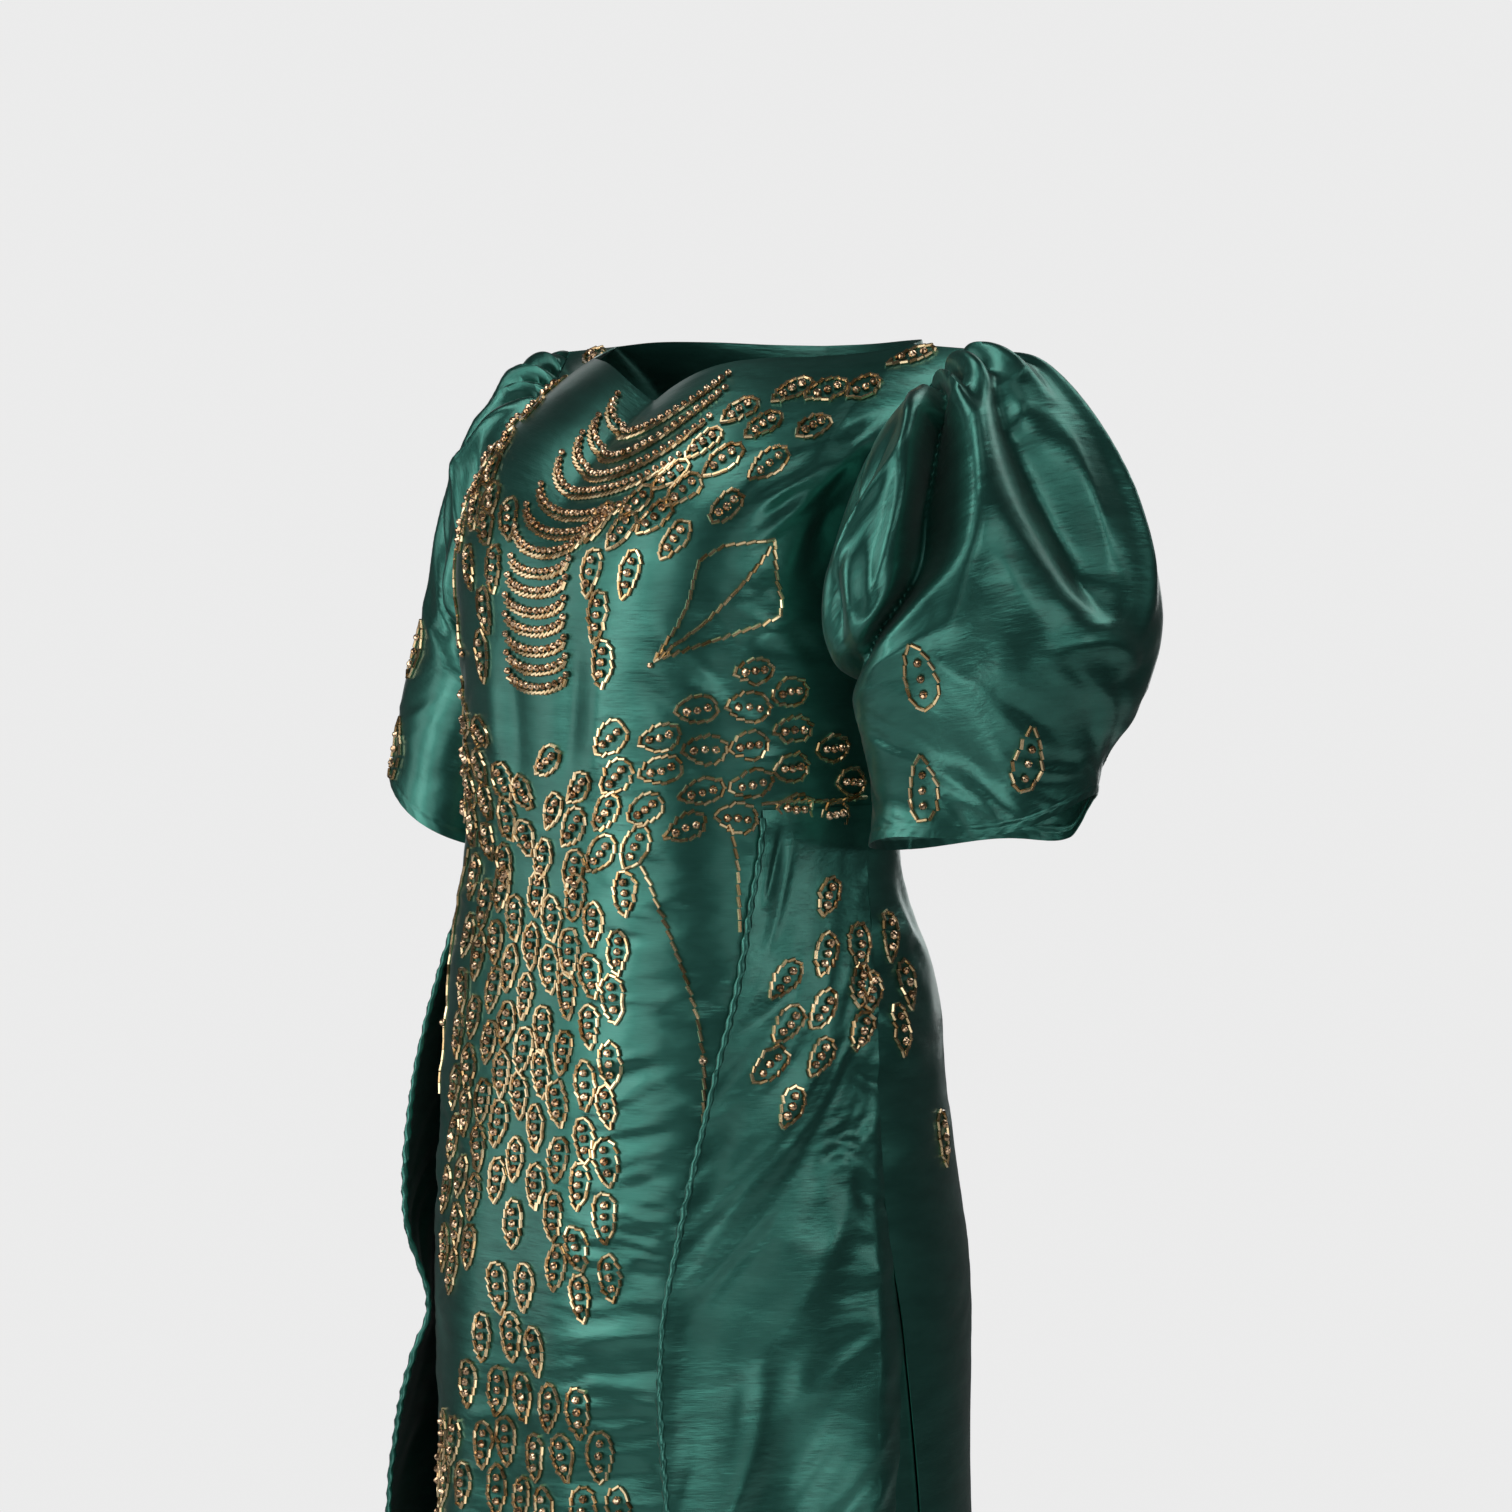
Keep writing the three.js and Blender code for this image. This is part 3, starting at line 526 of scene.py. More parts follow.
def sleeve_form(side):
    """The plain form of a sleeve, drawn as a left one, at an angle round it and a share along it."""

    def point(angle, s):
        outer = stack(*[read(SLEEVE_RINGS, "s", s, "out_" + k) for k in "xyz"])
        under = stack(*[read(SLEEVE_RINGS, "s", s, "under_" + k) for k in "xyz"])
        turn = np.radians(angle)
        c, f = np.cos(turn), np.sin(turn)
        radius = (np.abs(c) ** SLEEVE_SQUARE + np.abs(f) ** SLEEVE_SQUARE) ** (-1 / SLEEVE_SQUARE)
        depth = np.where(f > 0, read(SLEEVE_RINGS, "s", s, "fore"), read(SLEEVE_RINGS, "s", s, "aft"))
        if side < 0:
            full = np.where(f > 0, RIGHT_FULLNESS["fore"], RIGHT_FULLNESS["aft"])
            depth = depth * (full + (1 - full) * smoothstep(s, RIGHT_FULLNESS["until"], 1))
        spoke = (outer - under) / 2 * (c * radius)[..., None]
        spoke[..., 1] -= depth * f * radius
        made = (outer + under) / 2 + spoke
        if side < 0:
            tip = -RIGHT_SWING["drop_under"] * (1 - c) / 2
            swing = stack(RIGHT_SWING["out"], -RIGHT_SWING["fore"], tip)
            made += swing * smoothstep(s, RIGHT_SWING["begin"], 1)[..., None]
        drops = HEM_SAGS["drop_left" if side > 0 else "drop_right"]
        for middle, back, fore, drop in zip(HEM_SAGS["angle"], HEM_SAGS["back"], HEM_SAGS["fore"], drops):
            apart = np.mod(angle - middle + 180, 360) - 180
            apart = apart / np.where(apart < 0, back, fore)
            made[..., 2] -= drop * np.exp(-(apart**2)) * smoothstep(s, SAG_FROM, 1)
        leave = smoothstep(s, 0, ARMHOLE_BLEND)[..., None]
        return armhole(angle) * (1 - leave) + made * leave

    return point


def clear_of_body(point, clearance):
    """Below the underarm a sleeve stays a little outside the body of the gown."""
    z = np.minimum(point[..., 2], UNDERARM)
    angle = np.arctan2(point[..., 1] - section(z, "side"), point[..., 0])
    least = body_out(z, angle, clearance)[..., 0]
    is_low = point[..., 2] <= UNDERARM + BODY_CLEARANCE["above_underarm"]
    point[..., 0] = np.where(is_low, np.maximum(point[..., 0], least), point[..., 0])
    return point


CREASE_END = 1.5  # how a crease runs out at its ends
CREASE_BANK = 1.6  # how steep its banks are


def creases(rows, x, y, stretch=1.0):
    """Height of short creases at a place, in millimetres."""
    total = np.zeros(np.broadcast(x, y).shape)
    for cx, cy, length, tilt, width, height, bow in zip(*rows.values()):
        turn = math.radians(tilt)
        dx, dy = x - cx, y - cy * stretch
        along = (dx * math.cos(turn) + dy * math.sin(turn)) / (length / 2)
        across = (dy * math.cos(turn) - dx * math.sin(turn)) / width
        across = across - bow * (along**2) * length / width / 4
        total += height * np.clip(1 - along**2, 0, 1) ** CREASE_END * np.exp(-(np.abs(across) ** CREASE_BANK))
    return total


LATTICE = 64  # cells of noise before it repeats


def value_noise(x, y, seed):
    """Smooth noise from -1 to 1 on a lattice of one unit."""
    lattice = np.random.default_rng(seed).uniform(-1, 1, (LATTICE, LATTICE))
    i, j = np.floor(x).astype(int), np.floor(y).astype(int)
    u, v = smoothstep(x - i, 0, 1), smoothstep(y - j, 0, 1)
    i, j, right, above = i % LATTICE, j % LATTICE, (i + 1) % LATTICE, (j + 1) % LATTICE
    low = lattice[i, j] * (1 - u) + lattice[right, j] * u
    high = lattice[i, above] * (1 - u) + lattice[right, above] * u
    return low * (1 - v) + high * v


# Crumples: how far their lines wander, how round their crests are, and how patchy they are
WANDER = {"by": 1.5, "along": 0.7, "across": 0.3}
CREST = {"round": 0.012, "height": 1.3, "middle": 0.5}
FINE_CREST = {"along": 1.7, "across": 2.1, "shift": (5, 3), "round": 0.02, "height": 0.5}
PATCHY = {"least": 0.35, "along": 0.4, "across": 0.16, "edge": 0.6}


def ridge_noise(x, y, seed, roundness):
    """Noise folded at nothing into sharp valleys, a little rounded."""
    return np.sqrt(value_noise(x, y, seed) ** 2 + roundness)


def crumples(rows, x, y, seed):
    """Height of patches of small uneven creases with narrow crests, in millimetres."""
    total = np.zeros(np.broadcast(x, y).shape)
    for number, row in enumerate(zip(*rows.values())):
        cx, cy, reach_x, reach_y, long, short, tilt, height = row
        turn = math.radians(tilt)
        along = (x * math.cos(turn) + y * math.sin(turn)) / long
        across = (y * math.cos(turn) - x * math.sin(turn)) / short
        key = seed + 10 * number
        across = across + WANDER["by"] * value_noise(along * WANDER["along"], across * WANDER["across"], key)
        crest = ridge_noise(along, across, key + 1, CREST["round"])
        fine_x = along * FINE_CREST["along"] + FINE_CREST["shift"][0]
        fine_y = across * FINE_CREST["across"] + FINE_CREST["shift"][1]
        fine = ridge_noise(fine_x, fine_y, key + 2, FINE_CREST["round"])
        spots = value_noise(along * PATCHY["along"], across * PATCHY["across"], key + 3)
        patchy = PATCHY["least"] + (1 - PATCHY["least"]) * smoothstep(spots, -PATCHY["edge"], PATCHY["edge"])
        reach = np.exp(-(((x - cx) / reach_x) ** 4) - ((y - cy) / reach_y) ** 4)
        shape = CREST["middle"] - crest * CREST["height"] - fine * FINE_CREST["height"]
        total = total + height * reach * patchy * shape
    return total


def sleeve_folds(turn, s, lean):
    """Height of the long folds of a sleeve, turned round it by a lean."""
    total = np.zeros(np.broadcast(turn, s).shape)
    for number, rows in enumerate(SLEEVE_FOLDS):
        centre = read(rows, "s", s, "angle") + lean
        width = read(rows, "s", s, "width")
        height = read(rows, "s", s, "height") * ((s >= rows["s"][0]) & (s <= rows["s"][-1]))
        apart = (np.mod(turn - centre + 180, 360) - 180) * AROUND / width
        total = total + height * np.exp(-(np.abs(apart) ** (CLEFT_BANK if number == 0 else FOLD_BANK)))
    return total


def sleeve_hem(around, from_edge):
    """Height of the turned hem with its line of stitches, and of the puckers that they pull."""
    stitches = np.exp(-(((from_edge - SLEEVE_HEM["stitch"]) / SLEEVE_HEM["groove"]) ** 2))
    folded = smoothstep(from_edge, SLEEVE_HEM["gone"], SLEEVE_HEM["full"])
    hem = SLEEVE_HEM["thick"] * folded - SLEEVE_HEM["thick"] * stitches
    wave = np.sin(around / PUCKER["pitch"] + from_edge * PUCKER["slant"])
    return hem, PUCKER["height"] * wave * smoothstep(from_edge, PUCKER["gone"], PUCKER["full"])


def sleeve_relief(side):
    """Folds, creases and the sewn hem of a sleeve."""
    lean, share = (0, 1) if side > 0 else (RIGHT_FOLDS["lean"], RIGHT_FOLDS["share"])
    rows = dict(SLEEVE_CREASES, x=SLEEVE_CREASES["x"] * AROUND)

    def relief(angle, s):
        turn = np.mod(angle + 180, 360) - 180
        total = sleeve_folds(turn, s, lean)
        total = total + creases(rows, turn * AROUND, -s * ALONG, -ALONG)
        total = total + crumples(SLEEVE_CRUMPLES, turn * AROUND, -s * ALONG, 200 + side)
        total = total * share * smoothstep(s, 0, RELIEF_FROM)
        hem, pucker = sleeve_hem(turn * AROUND, (1 - s) * ALONG)
        return total + hem + pucker

    return relief


# Steps across and along a surface over which its slopes are measured
PANEL_STEPS = (0.004, 1.0)
TURN_STEPS = (0.01, 1.0)
SLEEVE_STEPS = (1.0, 0.004)


def normals_of(surface, a, b, steps, sign):
    across = surface(a + steps[0], b) - surface(a - steps[0], b)
    up = surface(a, b + steps[1]) - surface(a, b - steps[1])
    return unit(np.cross(across, up)) * sign


def with_relief(form, relief, steps, sign):
    """A form moved out along its normals by the height of its relief."""

    def surface(a, b):
        a, b = np.broadcast_arrays(np.asarray(a, float), np.asarray(b, float))
        return form(a, b) + normals_of(form, a, b, steps, sign) * relief(a, b)[..., None]

    return surface


def sleeve(side):
    """A sleeve of the wearer's left or right, with its relief."""
    folded = with_relief(sleeve_form(side), sleeve_relief(side), SLEEVE_STEPS, 1)

    def surface(angle, s):
        clearance = np.minimum(np.asarray(s) / BODY_CLEARANCE["full_at"], 1) * BODY_CLEARANCE["most"]
        point = clear_of_body(folded(angle, s), clearance)
        point[..., 0] *= side
        return point

    return surface


TO_SIDE = 255  # millimetres of front from its centre to the side seam
BACK_RADIUS = 150  # millimetres of back skirt to a radian
OVERSKIRT_WIDTH = 165  # millimetres from its front edge to the side seam
# The wearer's right has the left's creases mirrored, moved and lower. Low down they run right across.
FAR_CREASES = {"across": 6, "up": 9, "share": 0.8, "blend": 8, "mirrored_to": -880, "whole_from": -920}
FAR_OVERSKIRT = {"across": 12, "up": 30, "share": 0.9}
OVERSKIRT_FADE = 24  # under the waist seam


def front_relief(t, h):
    a = t * TO_SIDE
    far = FAR_CREASES
    left = creases(FRONT_CREASES, a, h)
    right = creases(FRONT_CREASES, -a + far["across"], h + far["up"]) * far["share"]
    is_left = smoothstep(a, -far["blend"], far["blend"])
    blend = is_left + (1 - is_left) * smoothstep(h, far["mirrored_to"], far["whole_from"])
    return left * blend + right * (1 - blend) + crumples(FRONT_CRUMPLES, a, h, 1)


def back_relief(t, h):
    return creases(BACK_CREASES, t * TO_SIDE, h) + crumples(BACK_CRUMPLES, t * TO_SIDE, h, 41)


def back_skirt_relief(angle, h):
    a = (angle - math.pi / 2) * BACK_RADIUS
    return creases(BACK_SKIRT_CREASES, a, h) + crumples(BACK_SKIRT_CRUMPLES, a, h, 61)


def overskirt_relief(side):
    moved = FAR_OVERSKIRT if side < 0 else {"across": 0, "up": 0, "share": 1}

    def relief(share, h):
        a = share * OVERSKIRT_WIDTH
        total = creases(OVERSKIRT_CREASES, a + moved["across"], h + moved["up"]) * moved["share"]
        total = total + crumples(OVERSKIRT_CRUMPLES, a, h, 90 + 40 * side)
        return total * smoothstep(h, WAIST, WAIST - OVERSKIRT_FADE)

    return relief


def surface_of(form, relief, steps, sign):
    """A surface with its relief, the steps for its slopes, and 1 or -1 where its normals need turning."""
    return with_relief(form, relief, steps, sign), steps, sign


SURFACES = {
    "front": surface_of(panel("front"), front_relief, PANEL_STEPS, 1),
    "back_bodice": surface_of(panel("back"), back_relief, PANEL_STEPS, -1),
    "back_skirt": surface_of(back_skirt, back_skirt_relief, TURN_STEPS, 1),
    "overskirt_left": surface_of(overskirt(1), overskirt_relief(1), PANEL_STEPS, 1),
    "overskirt_right": surface_of(overskirt(-1), overskirt_relief(-1), PANEL_STEPS, -1),
    "sleeve_left": (sleeve(1), SLEEVE_STEPS, 1),
    "sleeve_right": (sleeve(-1), SLEEVE_STEPS, -1),
}

BODY_MIDDLE = -50  # y of a line up the inside of the body
SHARP = 55  # degrees between faces from which an edge shades sharp


def link_mesh(name, points, faces, smooth=True):
    mesh = bpy.data.meshes.new(name)
    mesh.from_pydata((points * METRE).tolist(), [], faces)
    if smooth:
        mesh.shade_smooth()
        mesh.set_sharp_from_angle(angle=math.radians(SHARP))
    mesh.update()
    piece = bpy.data.objects.new(name, mesh)
    bpy.context.scene.collection.objects.link(piece)
    return piece


def shell_faces(rows, columns, closed):
    """Faces of a shell: its outer side, its inner side and its rims."""
    count = rows * columns
    last = columns if closed else columns - 1
    j, i = np.meshgrid(np.arange(rows - 1) * columns, np.arange(last), indexing="ij")
    after = (i + 1) % columns
    quads = np.stack([j + i, j + after, j + columns + after, j + columns + i], -1).reshape(-1, 4)
    edge = np.arange(last)
    beyond = (edge + 1) % columns
    top = (rows - 1) * columns
    rims = [np.stack([beyond, edge, edge + count, beyond + count], -1)]
    rims.append(np.stack([top + edge, top + beyond, top + beyond + count, top + edge + count], -1))
    if not closed:
        step = np.arange(rows - 1) * columns
        far = step + columns - 1
        rims.append(np.stack([step, step + columns, step + columns + count, step + count], -1))
        rims.append(np.stack([far + columns, far, far + count, far + columns + count], -1))
    return np.vstack([quads, quads[:, ::-1] + count, *rims])


def run_along(line):
    """Length along a line of points, from nothing at the first."""
    return np.concatenate([[0], np.cumsum(np.linalg.norm(np.diff(line, axis=0), axis=1))])


def lay_uv(piece, uv):
    """Gives a mesh its UV from one place for each vertex."""
    layer = piece.data.uv_layers.new(name="cloth")
    corners = np.empty(len(piece.data.loops), dtype=int)
    piece.data.loops.foreach_get("vertex_index", corners)
    layer.data.foreach_set("uv", uv[corners].ravel())


def shell(name, points, closed=False):
    """A thin closed shell on a grid of outer points, with its size in metres as UV."""
    rows, columns = points.shape[:2]
    if closed:
        across = np.roll(points, -1, axis=1) - np.roll(points, 1, axis=1)
        middle = points.mean(axis=1, keepdims=True)
    else:
        across = np.gradient(points, axis=1)
        middle = stack(0, BODY_MIDDLE, points[..., 2])
    normals = unit(np.cross(across, np.gradient(points, axis=0)))
    flipped = np.sum(normals * (points - middle)) < 0
    if flipped:
        normals = -normals
    inner = points - normals * THICKNESS
    faces = shell_faces(rows, columns, closed)
    if flipped:
        faces = faces[:, ::-1]
    piece = link_mesh(name, np.vstack([points.reshape(-1, 3), inner.reshape(-1, 3)]), faces.tolist())
    uv = np.stack(np.meshgrid(run_along(points[rows // 2]), run_along(points[:, columns // 2])), axis=-1)
    lay_uv(piece, np.vstack([uv.reshape(-1, 2)] * 2) * METRE)
    return piece


def finish_cloth(piece, node):
    piece.data.materials.append(SATIN)
    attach(piece, "root")
    if node:
        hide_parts(node)


def node_tree(name):
    material = bpy.data.materials.new(name)
    material.use_nodes = True
    tree = material.node_tree
    return material, tree, tree.nodes["Principled BSDF"]


def add_node(tree, kind, **settings):
    made = tree.nodes.new(kind)
    for key, value in settings.items():
        if hasattr(made, key):
            setattr(made, key, value)
        else:
            made.inputs[key.replace("_", " ")].default_value = value
    return made


def set_inputs(shader, settings):
    for name, value in settings.items():
        shader.inputs[name].default_value = value


def add_ramp(tree, factor, *stops):
    """A colour ramp between two stops, each a place and a colour."""
    ramp = add_node(tree, "ShaderNodeValToRGB")
    for element, (position, colour) in zip(ramp.color_ramp.elements, stops):
        element.position = position
        element.color = (*colour, 1)
    tree.links.new(factor, ramp.inputs["Fac"])
    return ramp.outputs["Color"]


def stretched_noise(tree, across, along, detail, rough):
    """Noise on the cloth's own UV, in waves to a metre across and along it."""
    place = add_node(tree, "ShaderNodeUVMap", uv_map="cloth")
    scale = add_node(tree, "ShaderNodeMapping")
    scale.inputs["Scale"].default_value = (across, along, 1)
    noise = add_node(tree, "ShaderNodeTexNoise", Detail=detail, Roughness=rough, Scale=1.0)
    tree.links.new(place.outputs["UV"], scale.inputs["Vector"])
    tree.links.new(scale.outputs["Vector"], noise.inputs["Vector"])
    return noise.outputs["Fac"]


def add_bump(tree, height, strength, distance, below=None):
    bump = add_node(tree, "ShaderNodeBump", Strength=strength, Distance=distance)
    tree.links.new(height, bump.inputs["Height"])
    if below is not None:
        tree.links.new(below.outputs["Normal"], bump.inputs["Normal"])
    return bump


SATIN_FINISH = {
    "Metallic": 0.85, "Roughness": 0.32, "Anisotropic": 0.45, "Coat Weight": 0.3, "Coat Roughness": 0.22,
    "Sheen Weight": 0.1, "Sheen Roughness": 0.4,
}
SATIN_DARK = (0.034, 0.165, 0.130)
SATIN_LIGHT = (0.048, 0.215, 0.170)
SATIN_CLOUDS = (18, 60, 3, 0.6)  # noise between the two: waves across and along, detail, roughness
# Bumps of the satin, from soft unevenness through slubs to threads
SATIN_BUMPS = table(
    "across along detail rough strength distance",
    (22, 60, 3, 0.55, 0.5, 0.0016),
    (60, 900, 2, 0.6, 0.35, 0.00025),
    (2400, 1500, 1, 0.5, 0.25, 0.00012),
)


def make_satin():
    material, tree, shader = node_tree("green_satin")
    set_inputs(shader, SATIN_FINISH)
    cloudy = stretched_noise(tree, *SATIN_CLOUDS)
    shade = add_ramp(tree, cloudy, (0.35, SATIN_DARK), (0.65, SATIN_LIGHT))
    tree.links.new(shade, shader.inputs["Base Color"])
    bump = None
    for across, along, detail, rough, strength, distance in zip(*SATIN_BUMPS.values()):
        bump = add_bump(tree, stretched_noise(tree, across, along, detail, rough), strength, distance, bump)
    tree.links.new(bump.outputs["Normal"], shader.inputs["Normal"])
    return material


GLASS_FINISH = {"Metallic": 0.9, "Coat Weight": 0.6, "Coat Roughness": 0.06}


def make_glass(name, dark, light, rough):
    """Lined glass, with a tone of its own for each bead."""
    material, tree, shader = node_tree(name)
    set_inputs(shader, dict(GLASS_FINISH, Roughness=rough))
    tone = add_node(tree, "ShaderNodeAttribute", attribute_name="tone")
    shade = add_ramp(tree, tone.outputs["Fac"], (0, dark), (1, light))
    tree.links.new(shade, shader.inputs["Base Color"])
    return material


SATIN = make_satin()
BUGLE_GLASS = make_glass("bugle_glass", (0.42, 0.25, 0.09), (0.92, 0.72, 0.42), 0.2)
CRYSTAL_GLASS = make_glass("crystal_glass", (0.40, 0.22, 0.10), (0.95, 0.68, 0.44), 0.12)


def levels(kind):
    """Rows of a grid, closer together where the cloth has fine creases."""
    return np.unique(np.concatenate([np.linspace(low, high, count) for low, high, count in LEVELS[kind]]))


SIDE_GAP = 0.0006  # share of a panel left free at its side seams
EDGE_CROWDING = 1.2  # how much closer an overskirt's columns are at its front edge


def panel_points(name, first, last):
    """Outer points of a panel between two values across it."""
    a, b = np.meshgrid(np.linspace(first, last, COLUMNS[name]), levels(name))
    return SURFACES[name][0](a, b)


def make_cloth():
    """The seven pieces of cloth, by the node that each replaces."""
    gap = SIDE_GAP
    made = {
        "front": shell("front_cloth", panel_points("front", -1 + gap, 1 - gap)),
        "back_bodice": shell("back_bodice_cloth", panel_points("back_bodice", 1 - gap, -1 + gap)),
        "back_skirt": shell("back_skirt_cloth", panel_points("back_skirt", gap, math.pi - gap)),
    }
    for side, name in ((1, "overskirt_left"), (-1, "overskirt_right")):
        columns = np.linspace(0, 1 - gap, COLUMNS["overskirt"]) ** EDGE_CROWDING
        a, b = np.meshgrid(columns[::side], levels("overskirt"))
        made[name] = shell(name + "_cloth", SURFACES[name][0](a, b))
    angles = np.linspace(-180, 180, COLUMNS["sleeve"], endpoint=False)
    for name in ("sleeve_left", "sleeve_right"):
        a, b = np.meshgrid(angles, levels("sleeve"))
        made[name] = shell(name + "_cloth", SURFACES[name][0](a, b), closed=True)
    for node, piece in made.items():
        finish_cloth(piece, node)
    return made


# The rolled edge: its section, its twist, and the uneven waves of both, as size and millimetres to a radian
EDGE_ROPE = {"wide": 2.7, "thin": 1.6, "pitch": 24, "ring": 10, "step": 2.4, "sunk": 0.35, "facet": 1.2}
TWIST_WAVES = ((0.5, 37), (0.4, 11.3))
SWELL_WAVE = (0.1, 23)


def rope_points(node, h):
    """Rings of points round an overskirt's front edge, at several heights."""
    surface, steps, sign = SURFACES[node]
    centre = surface(np.zeros_like(h), h)
    out = normals_of(surface, np.zeros_like(h), h, steps, sign)
    side_way = np.cross(unit(np.gradient(centre, axis=0)), out)
    turn = np.linspace(0, 2 * math.pi, EDGE_ROPE["ring"], endpoint=False)
    twist = 2 * math.pi * h / EDGE_ROPE["pitch"]
    for size, wave in TWIST_WAVES:
        twist = twist + size * np.sin(h / wave)
    local = turn[None, :] - twist[:, None]
    swell = 1 + SWELL_WAVE[0] * np.sin(h / SWELL_WAVE[1])[:, None]
    wide, thin = EDGE_ROPE["wide"], EDGE_ROPE["thin"]
    radius = wide * thin * swell / np.sqrt((thin * np.cos(local)) ** 2 + (wide * np.sin(local)) ** 2)
    ring = np.cos(turn)[None, :, None] * out[:, None, :] + np.sin(turn)[None, :, None] * side_way[:, None, :]
    return centre[:, None, :] + ring * radius[..., None] - out[:, None, :] * EDGE_ROPE["sunk"]


def make_edge_rope(name, node, side):
    """The rolled front edge of an overskirt panel, twisted as it was hand rolled."""
    points = rope_points(node, np.arange(HEM + 1, WAIST - 4, EDGE_ROPE["step"]))
    rows, columns = points.shape[:2]
    faces = []
    for j in range(rows - 1):
        for i in range(columns):
            k = (i + 1) % columns
            faces.append((j * columns + i, j * columns + k, (j + 1) * columns + k, (j + 1) * columns + i))
    faces.append(tuple(range(columns))[::-1])
    faces.append(tuple((rows - 1) * columns + i for i in range(columns)))
    if side < 0:
        faces = [face[::-1] for face in faces]
    rope = link_mesh(name, points.reshape(-1, 3), faces)
    number = np.arange(rows * columns)
    uv = [number % columns * EDGE_ROPE["facet"] * METRE, number // columns * EDGE_ROPE["step"] * METRE]
    lay_uv(rope, np.stack(uv, axis=-1))
    finish_cloth(rope, None)
    return rope


# Beads: bugles lie along lines, crystals sit on the cloth. A slant shingles the bugles of a line.
BUGLE_RADIUS = 1.28
BUGLE_SHORT = {"length": 5.4, "pitch": 5.5, "slant": 0.24, "stray": 0.16}
BUGLE_LONG = {"length": 7.0, "pitch": 7.6, "slant": 0.16, "stray": 0.08}
BUGLE_SHINGLED = {"length": 5.6, "pitch": 4.3, "slant": 0.36, "stray": 0.1}
CRYSTAL_RADIUS = 2.85
CRYSTAL_PROFILE = ((0.45, 0.0), (0.95, 0.45), (1.0, 0.75), (0.72, 1.3), (0.34, 1.62))
CRYSTAL_SIDES = 8
BUGLE_SIDES = 6
BUGLE_SEAT = 0.85  # height of a bugle's middle, in its radii
BUGLE_STRETCH = 1.04  # most that a bugle is lengthened to close up a line
# A leaf: how full and how pointed its outline is, how far its sizes, tip, corners and crystals stray,
# and where its crystals begin and end, as shares of its length
LEAF = {"full": 1.06, "point": 0.6, "fewest": 8, "samples": 300, "rib": (-0.26, 0.2)}
LEAF_STRAY = {"length": (0.92, 1.06), "width": (0.88, 1.1), "tip": 8, "corner": 0.9, "crystal": 0.8}
LEAF_CRYSTALS = 3
CRYSTAL_STRAY = 0.06  # share by which a crystal's size strays


def bugle_template():
    """A bugle one long and one in radius, along X."""
    n = BUGLE_SIDES
    turn = np.arange(n) * math.pi / (n / 2)
    ring = np.stack([np.zeros(n), np.cos(turn), np.sin(turn)], axis=-1)
    low, high = ring + [-0.5, 0, 0], ring + [0.5, 0, 0]
    faces = [(i, n + i, n + (i + 1) % n, (i + 1) % n) for i in range(n)]
    faces += [tuple(range(n)), tuple(range(2 * n - 1, n - 1, -1))]
    return np.vstack([low, high]), [face[::-1] for face in faces]


def crystal_template():
    """A faceted crystal one in radius, whose rings are turned by half a facet from each other."""
    n = CRYSTAL_SIDES
    rings = []
    for k, (radius, height) in enumerate(CRYSTAL_PROFILE):
        turn = (np.arange(n) + 0.5 * (k % 2)) * 2 * math.pi / n
        rings.append(np.stack([radius * np.cos(turn), radius * np.sin(turn), np.full(n, height)], axis=-1))
    faces = [tuple(range(n - 1, -1, -1))]
    for k in range(len(rings) - 1):
        for i in range(n):
            a, b = k * n + i, k * n + (i + 1) % n
            shift = (i + k % 2) % n
            c, other = (k + 1) * n + shift, (k + 1) * n + (shift - 1) % n
            faces += [(a, b, c), (a, c, other)]
    faces.append(tuple((len(rings) - 1) * n + i for i in range(n)))
    return np.vstack(rings), faces


def change_on(surface, a, b):
    """The change of a and b for a millimetre level across the cloth and for one up it, at each place."""
    point_at, steps, sign = surface
    across = (point_at(a + steps[0], b) - point_at(a - steps[0], b)) / (2 * steps[0])
    up = (point_at(a, b + steps[1]) - point_at(a, b - steps[1])) / (2 * steps[1])
    out = unit(np.cross(across, up)) * sign
    level = unit(np.cross([0, 0, 1.0], out))
    basis = np.stack([across, up], axis=-2)
    wanted = basis @ np.stack([level, np.cross(out, level)], axis=-1)
    return np.linalg.solve(basis @ np.swapaxes(basis, -1, -2), wanted)


def on_surface(surface, a, b):
    """Points and normals of a surface at several places."""
    point_at, steps, sign = surface
    a, b = np.asarray(a, float), np.asarray(b, float)
    return point_at(a, b), normals_of(point_at, a, b, steps, sign)


def leaf_outline(length, width, pitch):
    """Corners of a beaded leaf, from its tip round and back to it."""
    turn = np.linspace(0, 2 * math.pi, LEAF["samples"])
    x = length / 2 * np.cos(turn)
    y = width / 2 * LEAF["full"] * np.sin(turn) * np.abs(np.sin(turn / 2)) ** LEAF["point"]
    run = np.concatenate([[0], np.cumsum(np.hypot(np.diff(x), np.diff(y)))])
    count = max(round(run[-1] / pitch), LEAF["fewest"])
    at = np.linspace(0, run[-1], count + 1)
    return np.stack([np.interp(at, run, x), np.interp(at, run, y)], axis=-1)


